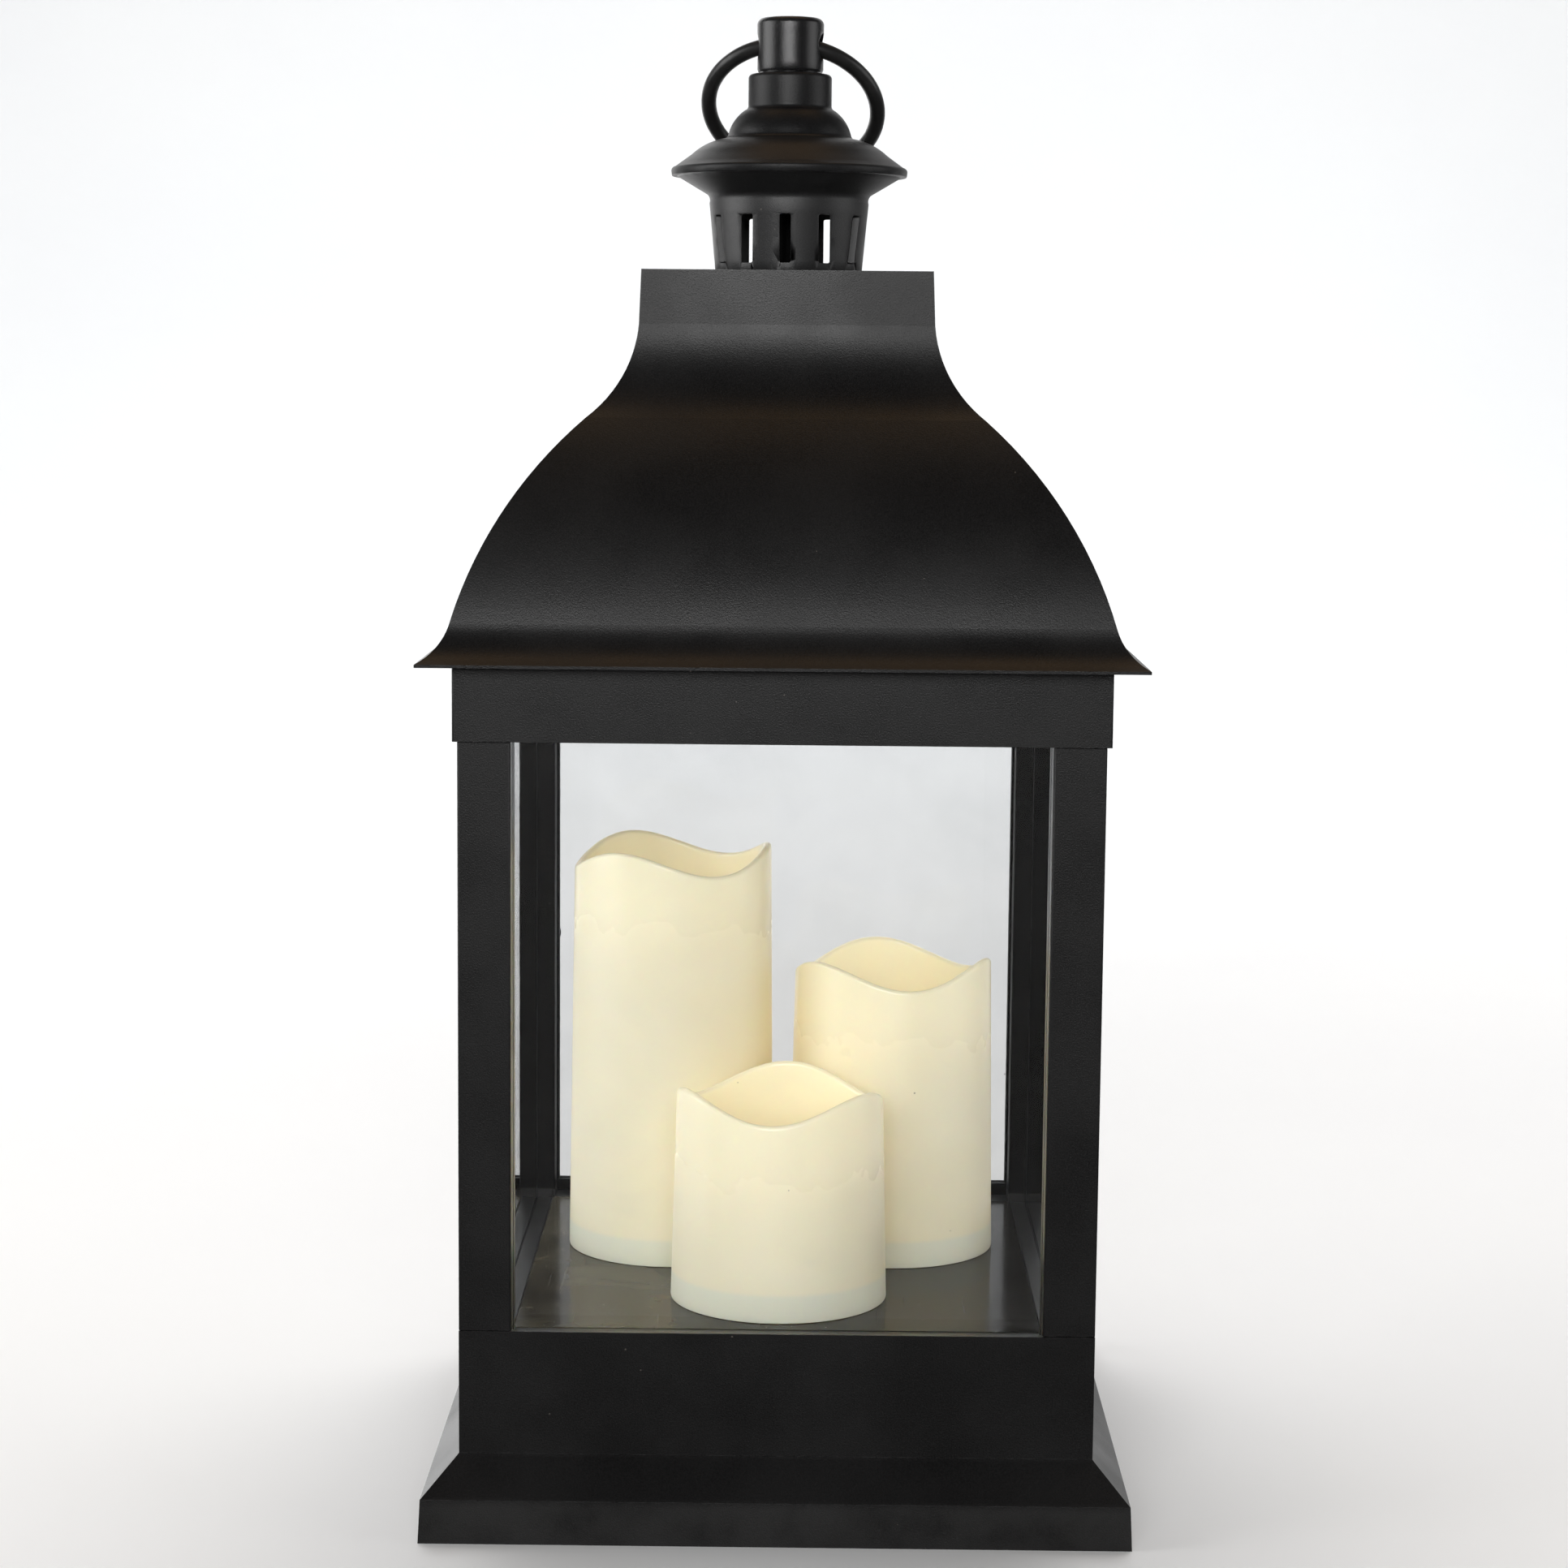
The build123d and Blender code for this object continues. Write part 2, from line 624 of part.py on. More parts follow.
# The ring lies in a plane that contains the hinge axis. "up_lean" points from its middle to its top.
lean = radians(ring_lean)
back = Vector(-sin(twist), cos(twist), 0)
up_lean = Vector(0, 0, 1) * cos(lean) - back * sin(lean)
ring_middle = Vector(0, 0, ring_hole_height) - up_lean * (ring_radius - ring_rise) + hole_along * ring_side
ring_plane = Plane(origin=ring_middle, x_dir=hole_along, z_dir=hole_along.cross(up_lean))
with BuildPart() as hanging_ring:
    with BuildSketch(Plane(origin=(ring_radius, 0, 0), x_dir=(1, 0, 0), z_dir=(0, 1, 0))):
        Circle(ring_rod)
    revolve(axis=Axis.Z)
write(ring_plane * hanging_ring.part, "hanging_ring")


# ---------------------------------------------------------------- candles
def rim_curve(x, y, mean, crest, radius):
    """Closed curve at one radius that follows the rim's three waves."""
    steps = 24
    points = []
    for k in range(steps):
        angle = 2 * pi * k / steps
        height = mean + rim_wave * cos(3 * (angle - radians(crest)))
        points.append((x + radius * cos(angle), y + radius * sin(angle), height))
    return Spline(*points, periodic=True)


def make_candle(name, x, y, rim_height, crest):
    foot = candle_foot
    mean = foot + rim_height
    top = mean + rim_wave
    well_floor = mean - well_depth
    well_top_radius = candle_top_radius - candle_wall - 0.4
    well_floor_radius = well_top_radius - 0.8
    draft = (candle_foot_radius - candle_top_radius) / (top - foot)
    cavity_radius = candle_foot_radius - candle_wall
    cavity_top_radius = cavity_radius - draft * (well_floor - 2 - foot)
    holder_top = foot + 9.5
    holder_bottom = foot + 1.5
    middle = Location((x, y, 0))
    with BuildPart() as above_rim:
        with BuildLine():
            inner_rim = rim_curve(x, y, mean, crest, 15)
            outer_rim = rim_curve(x, y, mean, crest, 50)
        add(Solid.extrude(Face.make_surface_from_curves(outer_rim.edge(), inner_rim.edge()), Vector(0, 0, 30)))
    with BuildPart() as shell:
        with BuildSketch(Plane.XZ):
            with BuildLine():
                Polyline(
                    (candle_foot_radius - 0.5, foot), (candle_foot_radius, foot + 0.6),
                    (candle_top_radius, top), (well_top_radius, top), (well_floor_radius, well_floor + 2),
                    (well_floor_radius - 2, well_floor), (5.5, well_floor), (5.5, well_floor - 2),
                    (cavity_top_radius, well_floor - 2), (cavity_radius, foot), close=True,
                )
            make_face()
        revolve()
    write((middle * shell.part) - above_rim.part, f"candle_{name}_shell")

    with BuildPart() as flame_cover:
        with BuildSketch(Plane.XZ):
            with BuildLine():
                Polyline((0, well_floor - 2.6), (6.8, well_floor - 2.6), (6.8, well_floor - 2.1),
                         (5.3, well_floor - 2.1), (5.3, well_floor + 1))
                Spline((5.3, well_floor + 1), (5.6, well_floor + 5), (3.2, well_floor + 10.5),
                       (0, well_floor + 15))
                Line((0, well_floor + 15), (0, well_floor - 2.6))
            make_face()
        revolve()
        with BuildSketch(Plane.XY.offset(well_floor - 2.6)):
            Circle(3.4)
        extrude(amount=7, mode=Mode.SUBTRACT)
    write(middle * flame_cover.part, f"candle_{name}_flame_cover")

    with BuildPart() as lamp_board:
        with BuildSketch(Plane.XY.offset(well_floor - 4.4)):
            RectangleRounded(22, 14, 1)
        extrude(amount=1.6)
        with BuildSketch(Plane.XY.offset(well_floor - 2.8)):
            Circle(2.5)
        extrude(amount=4.5)
        fillet(lamp_board.faces().sort_by(Axis.Z)[-1].edges(), 1.8)
    write(middle * lamp_board.part, f"candle_{name}_lamp_board")

    cell_height = foot + 11.0
    with BuildPart() as battery_holder:
        with BuildSketch(Plane.XY.offset(holder_bottom)):
            Circle(cavity_radius - draft * (holder_top - foot) - 0.02)
        extrude(amount=holder_top - holder_bottom)
        with BuildSketch(Plane.XY.offset(holder_top)):
            Rectangle(58, 34)
        extrude(amount=10.5)
        with BuildSketch(Plane.XY.offset(holder_bottom)):
            Rectangle(54, 31)
        extrude(amount=17.5, mode=Mode.SUBTRACT)
        # Recess for the cover and its screw tab, screw hole, and the switch's slot.
        with BuildSketch(Plane.XY.offset(holder_bottom)):
            Rectangle(58.2, 33.2)
            with Locations((0, 19.5)):
                Circle(4.6)
        extrude(amount=1.5, mode=Mode.SUBTRACT)
        with BuildSketch(Plane.XY.offset(holder_bottom)):
            with Locations((0, 19.5)):
                Circle(1.2)
        extrude(amount=7, mode=Mode.SUBTRACT)
        with BuildSketch(Plane.XY.offset(holder_bottom)):
            with Locations((2, -25)):
                Rectangle(9.0, 3.6)
        extrude(amount=5, mode=Mode.SUBTRACT)
        with BuildSketch(Plane.XY.offset(holder_bottom + 2)):
            with Locations((2, -25)):
                Rectangle(13.4, 5.6)
        extrude(amount=3, mode=Mode.SUBTRACT)
    write(middle * battery_holder.part, f"candle_{name}_battery_holder")

    with BuildPart() as batteries:
        for side in (-1, 1):
            plane = Plane(origin=(0, side * 7.6, cell_height), x_dir=(0, 1, 0), z_dir=(side, 0, 0))
            with BuildSketch(plane):
                Circle(7.2)
            extrude(amount=24.6, both=True)
            with BuildSketch(plane.offset(24.6)):
                Circle(2.7)
            extrude(amount=1.2)
    write(middle * batteries.part, f"candle_{name}_batteries")

    with BuildPart() as contacts:
        with BuildSketch(Plane.YZ.offset(-26.6)):
            with Locations((0, cell_height)):
                Rectangle(27, 11)
        extrude(amount=0.5)
        with BuildSketch(Plane.YZ.offset(26.1)):
            with Locations((-7.6, cell_height), (7.6, cell_height)):
                Rectangle(12, 11)
        extrude(amount=0.5)
    write(middle * contacts.part, f"candle_{name}_contacts")

    with BuildPart() as battery_cover:
        with BuildSketch(Plane.XY.offset(holder_bottom)):
            Rectangle(57.8, 32.8)
            with Locations((0, 19.5)):
                Circle(4.4)
            with Locations((0, 19.5)):
                Circle(1.3, mode=Mode.SUBTRACT)
            with Locations((-25, 0)):
                SlotOverall(12, 1.5, rotation=90, mode=Mode.SUBTRACT)
        extrude(amount=1.4)
    write(middle * battery_cover.part, f"candle_{name}_battery_cover")

    make_screws([(x, y + 19.5)], holder_bottom, holder_bottom + 6.5, 1.2, 2.3, 0.9, f"candle_{name}_cover_screw")

    with BuildPart() as switch_slider:
        with BuildSketch(Plane.XY.offset(holder_bottom + 2.2)):
            with Locations((0, -25)):
                Rectangle(8.6, 5.2)
        extrude(amount=2.4)
        with BuildSketch(Plane.XY.offset(holder_bottom - 0.7)):
            with Locations((0, -25)):
                Rectangle(4.6, 3.2)
        extrude(amount=3.0)
    write(middle * switch_slider.part, f"candle_{name}_switch_slider")


for candle_name, (candle_x, candle_y, candle_rim, candle_crest) in candles.items():
    make_candle(candle_name, candle_x, candle_y, candle_rim, candle_crest)
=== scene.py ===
# %% [markdown]
# # A candle lantern
# The lantern is a moulded black cabin on a stepped base, with clear panes, a bell roof, a vented
# chimney and a hanging ring. Three battery pillar candles stand inside on a glossy floor panel.
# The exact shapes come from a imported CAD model, so this script gives them their finishes, builds the
# candles' soft wavy shells, and sets up a floor, a camera and the light.
# Units are metres, +Z is up, and the front of the lantern faces -Y.

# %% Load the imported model
import math

import bpy
from mathutils import Matrix, Vector


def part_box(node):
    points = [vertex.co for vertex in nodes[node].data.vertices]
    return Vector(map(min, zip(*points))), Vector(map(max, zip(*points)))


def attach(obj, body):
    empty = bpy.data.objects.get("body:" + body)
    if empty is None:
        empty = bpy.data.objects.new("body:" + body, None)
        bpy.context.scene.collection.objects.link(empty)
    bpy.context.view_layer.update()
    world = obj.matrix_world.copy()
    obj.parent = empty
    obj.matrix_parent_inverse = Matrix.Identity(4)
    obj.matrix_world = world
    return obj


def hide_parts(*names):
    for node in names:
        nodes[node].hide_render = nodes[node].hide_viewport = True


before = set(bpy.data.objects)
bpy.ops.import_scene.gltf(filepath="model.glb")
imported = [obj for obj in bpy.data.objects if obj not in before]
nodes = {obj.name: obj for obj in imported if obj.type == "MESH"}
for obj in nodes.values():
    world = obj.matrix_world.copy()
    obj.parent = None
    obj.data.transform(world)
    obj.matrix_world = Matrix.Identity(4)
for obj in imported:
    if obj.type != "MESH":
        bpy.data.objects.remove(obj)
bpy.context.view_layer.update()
MM = 0.001
CANDLES = ("tall", "medium", "short")

# %% [markdown]
# ## Small helpers for node trees
# Every finish below is a procedural material: a Principled BSDF whose colour, roughness and normal
# come from noise. Adding nodes one by one is wordy, so small helpers add a node with its values, join
# two sockets and do sums on them. Effects that several finishes share are made once as node groups.

# %% Adding and joining nodes


def add_node(tree, kind, **values):
    """Adds a node; a value named after an input socket sets it, any other sets a property."""
    node = tree.nodes.new("ShaderNode" + kind)
    for name, value in values.items():
        socket = node.inputs.get(name.replace("_", " ").title())
        if socket is not None and not hasattr(node, name):
            socket.default_value = value
        else:
            setattr(node, name, value)
    return node


def join(tree, source, target):
    tree.links.new(source, target)


def new_group(name, inputs, outputs):
    """A shader node group with float inputs (name: default) and outputs (name: socket type)."""
    tree = bpy.data.node_groups.new(name, "ShaderNodeTree")
    for label, default in inputs.items():
        socket = tree.interface.new_socket(label, in_out="INPUT", socket_type="NodeSocketFloat")
        socket.default_value = default
    for label, kind in outputs.items():
        tree.interface.new_socket(label, in_out="OUTPUT", socket_type=kind)
    return tree, tree.nodes.new("NodeGroupInput"), tree.nodes.new("NodeGroupOutput")


# %% Sums on sockets


def maths(tree, operation, a, b):
    """A Math node on sockets or plain numbers; returns its output."""
    node = tree.nodes.new("ShaderNodeMath")
    node.operation = operation
    for slot, value in enumerate((a, b)):
        if isinstance(value, (int, float)):
            node.inputs[slot].default_value = value
        else:
            join(tree, value, node.inputs[slot])
    return node.outputs[0]


def inverted(tree, mask):
    """One minus the mask."""
    return maths(tree, "SUBTRACT", 1.0, mask)


def own_place(tree):
    """The surface point in the part's own metres; it travels with the part when the part moves."""
    return tree.nodes.new("ShaderNodeTexCoord").outputs["Object"]


def place_in_steps(tree, size):
    """The surface point counted in steps of a size, so that a 3D noise has features that large."""
    grow = tree.nodes.new("ShaderNodeVectorMath")
    grow.operation = "SCALE"
    join(tree, own_place(tree), grow.inputs[0])
    join(tree, maths(tree, "DIVIDE", 1.0, size), grow.inputs["Scale"])
    return grow.outputs[0]


def split_axes(tree, vector):
    """The X, Y and Z of a vector socket, by name."""
    node = tree.nodes.new("ShaderNodeSeparateXYZ")
    join(tree, vector, node.inputs[0])
    return node.outputs


def step_up(tree, value, start, end):
    """0 below start, 1 above end, smooth between them."""
    node = tree.nodes.new("ShaderNodeMapRange")
    node.interpolation_type = "SMOOTHSTEP"
    join(tree, value, node.inputs["Value"])
    for name, limit in (("From Min", start), ("From Max", end)):
        if isinstance(limit, (int, float)):
            node.inputs[name].default_value = limit
        else:
            join(tree, limit, node.inputs[name])
    return node.outputs["Result"]


# %% [markdown]
# ## Shared effect: the moulded grain
# A textured steel mould leaves a fine pebbled skin on the plastic. Modelling it would take millions of
# faces, so a fine 3D noise drives a bump instead. A second, broad noise gives the slow changes of
# tone that a large moulding has. Both read the part's own coordinates, so they need no UV map.

# %% Node group: moulded grain
tree, given, result = new_group(
    "moulded_grain",
    {"Grain Size": 0.5 * MM, "Mottle Size": 40 * MM},
    {"Height": "NodeSocketFloat", "Fleck": "NodeSocketFloat", "Mottle": "NodeSocketFloat"},
)
fine = add_node(tree, "TexNoise", scale=1.0, detail=2.0, roughness=0.65)
join(tree, place_in_steps(tree, given.outputs["Grain Size"]), fine.inputs["Vector"])
broad = add_node(tree, "TexNoise", scale=1.0, detail=3.0, roughness=0.5)
join(tree, place_in_steps(tree, given.outputs["Mottle Size"]), broad.inputs["Vector"])
join(tree, fine.outputs["Fac"], result.inputs["Height"])
join(tree, step_up(tree, fine.outputs["Fac"], 0.25, 0.75), result.inputs["Fleck"])
join(tree, step_up(tree, broad.outputs["Fac"], 0.3, 0.7), result.inputs["Mottle"])
moulded_grain = tree
print("group", tree.name, [s.name for s in tree.interface.items_tree])

# %% [markdown]
# ## Shared effect: edge wear
# Handling polishes the outer edges of a plastic moulding, so they catch more light than the faces.
# A Bevel node answers with the normal that a rounded edge would have; where that differs from the real
# normal there is an edge. A noise breaks the line up, because wear is never even.

# %% Node group: edge wear
tree, given, result = new_group(
    "edge_wear",
    {"Radius": 0.6 * MM, "Break Up Size": 3 * MM},
    {"Edge": "NodeSocketFloat", "Wear": "NodeSocketFloat"},
)
rounded = add_node(tree, "Bevel", samples=4)
join(tree, given.outputs["Radius"], rounded.inputs["Radius"])
surface = tree.nodes.new("ShaderNodeNewGeometry")
likeness = tree.nodes.new("ShaderNodeVectorMath")
likeness.operation = "DOT_PRODUCT"
join(tree, rounded.outputs["Normal"], likeness.inputs[0])
join(tree, surface.outputs["Normal"], likeness.inputs[1])
edge = step_up(tree, inverted(tree, likeness.outputs["Value"]), 0.002, 0.06)
patches = add_node(tree, "TexNoise", scale=1.0, detail=3.0, roughness=0.6)
join(tree, place_in_steps(tree, given.outputs["Break Up Size"]), patches.inputs["Vector"])
join(tree, edge, result.inputs["Edge"])
broken = step_up(tree, patches.outputs["Fac"], 0.35, 0.65)
join(tree, maths(tree, "MULTIPLY", edge, broken), result.inputs["Wear"])
edge_wear = tree
print("group", tree.name)

# %% [markdown]
# ## Shared effect: dust specks
# Black plastic shows every crumb of dust. A Voronoi pattern scatters points; only the middle of a
# cell, and only some of the cells, become a speck, so the dust stays sparse and uneven.

# %% Node group: dust specks
tree, given, result = new_group(
    "dust_specks",
    {"Spacing": 6 * MM, "Speck Size": 0.06, "Share": 0.3},
    {"Specks": "NodeSocketFloat"},
)
cells = add_node(tree, "TexVoronoi", scale=1.0)
join(tree, place_in_steps(tree, given.outputs["Spacing"]), cells.inputs["Vector"])
draw = tree.nodes.new("ShaderNodeSeparateColor")
join(tree, cells.outputs["Color"], draw.inputs["Color"])
chosen = maths(tree, "LESS_THAN", draw.outputs["Red"], given.outputs["Share"])
size = maths(tree, "MULTIPLY", given.outputs["Speck Size"], maths(tree, "ADD", 0.4, draw.outputs["Green"]))
spot = maths(tree, "LESS_THAN", cells.outputs["Distance"], size)
join(tree, maths(tree, "MULTIPLY", chosen, spot), result.inputs["Specks"])
dust_specks = tree
print("group", tree.name)

# %% [markdown]
# ## Shared effect: painted floor reflection
# The lowest few millimetres of the base are painted paler, a painted reflection of the pale floor
# they stand on. The mask is the height above the floor, broken up by a noise so that it has no drawn edge.

# %% Node group: painted floor reflection
tree, given, result = new_group(
    "floor_reflection",
    {"Top": 14 * MM, "Soft": 2 * MM},
    {"Floor Reflection": "NodeSocketFloat"},
)
place = own_place(tree)
reflection_break_up = add_node(tree, "TexNoise", scale=60.0, detail=3.0)
join(tree, place, reflection_break_up.inputs["Vector"])
edge_low = maths(tree, "SUBTRACT", given.outputs["Top"], given.outputs["Soft"])
edge_high = maths(tree, "ADD", given.outputs["Top"], given.outputs["Soft"])
near_floor = inverted(tree, step_up(tree, split_axes(tree, place)["Z"], edge_low, edge_high))
uneven = step_up(tree, reflection_break_up.outputs["Fac"], 0.1, 0.6)
join(tree, maths(tree, "MULTIPLY", near_floor, uneven), result.inputs["Floor Reflection"])
floor_reflection = tree
print("group", tree.name)

# %% [markdown]
# ## Shared effect: smudges and hairline scratches
# The panes and the glossy floor panel carry wiping marks. A broad, stretched noise stands for the
# smudges, and a very long thin noise, cut near its peaks, gives a few hairline scratches.

# %% Node group: handling marks
tree, given, result = new_group(
    "handling_marks",
    {"Smudge Size": 30 * MM, "Scratch Width": 0.5 * MM},
    {"Smudge": "NodeSocketFloat", "Scratch": "NodeSocketFloat"},
)
cloud = add_node(tree, "TexNoise", scale=1.0, detail=4.0, roughness=0.55, distortion=0.8)
join(tree, place_in_steps(tree, given.outputs["Smudge Size"]), cloud.inputs["Vector"])
turned = tree.nodes.new("ShaderNodeMapping")
turned.inputs["Rotation"].default_value = (0.3, 0.2, 0.6)
turned.inputs["Scale"].default_value = (1.0, 0.02, 1.0)
join(tree, place_in_steps(tree, given.outputs["Scratch Width"]), turned.inputs["Vector"])
lines = add_node(tree, "TexNoise", scale=0.25, detail=1.0, roughness=0.5)
join(tree, turned.outputs["Vector"], lines.inputs["Vector"])
join(tree, step_up(tree, cloud.outputs["Fac"], 0.35, 0.75), result.inputs["Smudge"])
join(tree, step_up(tree, lines.outputs["Fac"], 0.70, 0.74), result.inputs["Scratch"])
handling_marks = tree
print("group", tree.name)

# %% [markdown]
# ## Starting a material
# Each finish starts from one Principled BSDF. Values that are the same all over are set on its own
# sockets. A group is placed with its own numbers, and a colour mix blends between two tones by a mask.

# %% A new finish and its groups


def new_finish(name, **values):
    """A material with one Principled BSDF, whose sockets take the given plain values."""
    finish = bpy.data.materials.new(name)
    finish.use_nodes = True
    shader = finish.node_tree.nodes["Principled BSDF"]
    for label, value in values.items():
        shader.inputs[label.replace("_", " ")].default_value = value
    return finish, finish.node_tree, shader


def place_group(tree, group, **values):
    node = tree.nodes.new("ShaderNodeGroup")
    node.node_tree = group
    for label, value in values.items():
        node.inputs[label.replace("_", " ")].default_value = value
    return node


# %% Blends by a mask


def blend_colours(tree, mask, first, second):
    """first where the mask is 0, second where it is 1; each is a colour or a socket."""
    node = tree.nodes.new("ShaderNodeMix")
    node.data_type = "RGBA"
    join(tree, mask, node.inputs["Factor"])
    for slot, colour in ((6, first), (7, second)):
        if isinstance(colour, tuple):
            node.inputs[slot].default_value = (*colour, 1.0)
        else:
            join(tree, colour, node.inputs[slot])
    return node.outputs[2]


def tint(tree, mask, share, under, over):
    """Lays a colour over another where the mask is, at no more than a share of its strength."""
    return blend_colours(tree, maths(tree, "MULTIPLY", mask, share), under, over)


def blend_values(tree, mask, first, second):
    """The same blend for plain numbers, such as roughness."""
    node = tree.nodes.new("ShaderNodeMix")
    join(tree, mask, node.inputs["Factor"])
    for slot, value in ((2, first), (3, second)):
        if isinstance(value, (int, float)):
            node.inputs[slot].default_value = value
        else:
            join(tree, value, node.inputs[slot])
    return node.outputs[0]


# %% Bump, and dressing the CAD nodes


def add_bump(tree, shader, height, strength, distance):
    """Raises the surface's shading by a height, without moving a vertex."""
    bump = add_node(tree, "Bump", strength=strength, distance=distance)
    join(tree, height, bump.inputs["Height"])
    join(tree, bump.outputs["Normal"], shader.inputs["Normal"])


def dress(finish, *names):
    """Gives CAD nodes a finish."""
    for name in names:
        nodes[name].data.materials[0] = finish
    print(finish.name, "on", len(names), "nodes")


# %% [markdown]
# ## Moulded black plastic
# Base, front posts, band and roof are one black, fine-textured plastic. It is nearly black with a
# faint warm cast, half matt, a little paler where its edges are worn, and dotted with dust. Just above
# the floor it is painted greyer, a painted reflection of the floor. The grain goes to the bump, its
# flecks shift the tone, and edges are smoother.
# The rear posts, the door and the chimney's inner tube get a duller, deeper black by the same recipe,
# a painted shade: they are seen through the panes, where less light reaches them, and would look too
# pale there with the gloss of the front.

# %% Recipe: moulded plastic
SPECK_TONE = (0.16, 0.14, 0.12)
FLOOR_REFLECTION_TONE = (0.034, 0.033, 0.032)


def moulded_plastic(name, dark, pale, roughness, gloss, grain_size, wear_tone):
    """A grained black plastic; gloss is the specular level."""
    finish, tree, shader = new_finish(name, Roughness=roughness, Specular_IOR_Level=gloss)
    grain = place_group(tree, moulded_grain, Grain_Size=grain_size, Mottle_Size=35 * MM)
    wear = place_group(tree, edge_wear, Radius=0.5 * MM, Break_Up_Size=4 * MM)
    dust = place_group(tree, dust_specks, Spacing=5 * MM, Speck_Size=0.045, Share=0.16)
    low = place_group(tree, floor_reflection, Top=14 * MM, Soft=2 * MM)
    tone = blend_colours(tree, grain.outputs["Fleck"], dark, pale)
    mottled = tint(tree, grain.outputs["Mottle"], 0.25, tone, pale)
    worn = tint(tree, wear.outputs["Wear"], 0.6, mottled, wear_tone)
    dusty = tint(tree, dust.outputs["Specks"], 0.5, worn, SPECK_TONE)
    # Paler just above the floor: a painted reflection of the pale floor.
    floor_reflected = tint(tree, low.outputs["Floor Reflection"], 0.5, dusty, FLOOR_REFLECTION_TONE)
    join(tree, floor_reflected, shader.inputs["Base Color"])
    satin = blend_values(tree, grain.outputs["Mottle"], roughness - 0.04, roughness + 0.05)
    join(tree, blend_values(tree, wear.outputs["Edge"], satin, roughness - 0.15), shader.inputs["Roughness"])
    add_bump(tree, shader, grain.outputs["Height"], 0.6, 0.12 * MM)
    return finish


# %% Finishes: the black of the front and of the rear
moulded_black = moulded_plastic(
    "moulded_black", dark=(0.003, 0.0029, 0.0029), pale=(0.0125, 0.012, 0.012),
    roughness=0.35, gloss=0.4, grain_size=0.5 * MM, wear_tone=(0.05, 0.05, 0.05),
)
dress(moulded_black, "base_shell", "header_band", "roof_shell", "post_front_left", "post_front_right")
# A darker copy of the same black: painted shade for the parts inside the cabin.
shaded_rear_black = moulded_plastic(
    "shaded_rear_black", dark=(0.001, 0.001, 0.001), pale=(0.004, 0.004, 0.004),
    roughness=0.45, gloss=0.05, grain_size=0.5 * MM, wear_tone=(0.02, 0.02, 0.02),
)
dress(shaded_rear_black, "post_rear_left", "post_rear_right", "door_frame", "door_knob", "chimney_spacer")

# %% [markdown]
# ## The chimney's plastic
# The vent, the cap and the finial come from moulds of their own, with a finer grain. The vent and the
# cap are a little more matt than the roof, the vent with a stronger sheen, and the finial is the
# smoothest piece, so it shows upright highlights.

# %% Finishes: chimney and finial
chimney_black = moulded_plastic(
    "chimney_black", dark=(0.003, 0.003, 0.0032), pale=(0.0125, 0.0125, 0.013),
    roughness=0.40, gloss=0.4, grain_size=0.45 * MM, wear_tone=(0.05, 0.05, 0.05),
)
dress(chimney_black, "chimney_cap")
vent_black = moulded_plastic(
    "vent_black", dark=(0.004, 0.004, 0.0042), pale=(0.014, 0.014, 0.0145),
    roughness=0.45, gloss=0.8, grain_size=0.45 * MM, wear_tone=(0.05, 0.05, 0.05),
)
dress(vent_black, "chimney_vent")
finial_black = moulded_plastic(
    "finial_black", dark=(0.004, 0.004, 0.0043), pale=(0.012, 0.012, 0.0125),
    roughness=0.28, gloss=0.7, grain_size=0.45 * MM, wear_tone=(0.06, 0.06, 0.06),
)
dress(finial_black, "finial")

# %% [markdown]
# ## The painted ring
# The ring is bent steel rod with semi-gloss black paint. A thin clear coat over a rougher base
# gives the soft highlight with a sharper one inside it that brushed-on paint has.

# %% Finish: ring paint
ring_paint, tree, shader = new_finish(
    "ring_paint", Roughness=0.4, Coat_Roughness=0.25, Specular_IOR_Level=0.4,
)
grain = place_group(tree, moulded_grain, Grain_Size=0.9 * MM, Mottle_Size=12 * MM)
paint_tone = blend_colours(tree, grain.outputs["Mottle"], (0.009, 0.009, 0.009), (0.017, 0.0165, 0.016))
join(tree, paint_tone, shader.inputs["Base Color"])
join(tree, maths(tree, "MULTIPLY", grain.outputs["Mottle"], 0.5), shader.inputs["Coat Weight"])
join(tree, blend_values(tree, grain.outputs["Fleck"], 0.34, 0.44), shader.inputs["Roughness"])
add_bump(tree, shader, grain.outputs["Height"], 0.25, 0.1 * MM)
dress(ring_paint, "hanging_ring")

# %% [markdown]
# ## The glossy floor panel
# The candles stand on a smooth sheet that mirrors them softly. Its gloss is uneven from wiping, and
# hairline scratches and crumbs show against the reflections. Its left half is painted a paler warm grey,
# a painted reflection, which fades out to the right and is broken up by the smudges.

# %% Finish: gloss panel
LEFT_REFLECTION_FULL_AT = -70 * MM         # left of here the painted reflection is whole
LEFT_REFLECTION_GONE_AT = 50 * MM          # right of here there is none
LEFT_REFLECTION_TONE = (0.095, 0.084, 0.06)
panel_gloss, tree, shader = new_finish("panel_gloss", Roughness=0.12, Specular_IOR_Level=0.11)
marks = place_group(tree, handling_marks, Smudge_Size=28 * MM, Scratch_Width=0.35 * MM)
dust = place_group(tree, dust_specks, Spacing=4 * MM, Speck_Size=0.06, Share=0.35)
grain = place_group(tree, moulded_grain, Grain_Size=2.5 * MM, Mottle_Size=60 * MM)
sheet_tone = blend_colours(tree, grain.outputs["Mottle"], (0.016, 0.015, 0.014), (0.024, 0.023, 0.021))
scratched = tint(tree, marks.outputs["Scratch"], 0.3, sheet_tone, (0.2, 0.2, 0.2))
across = split_axes(tree, own_place(tree))["X"]
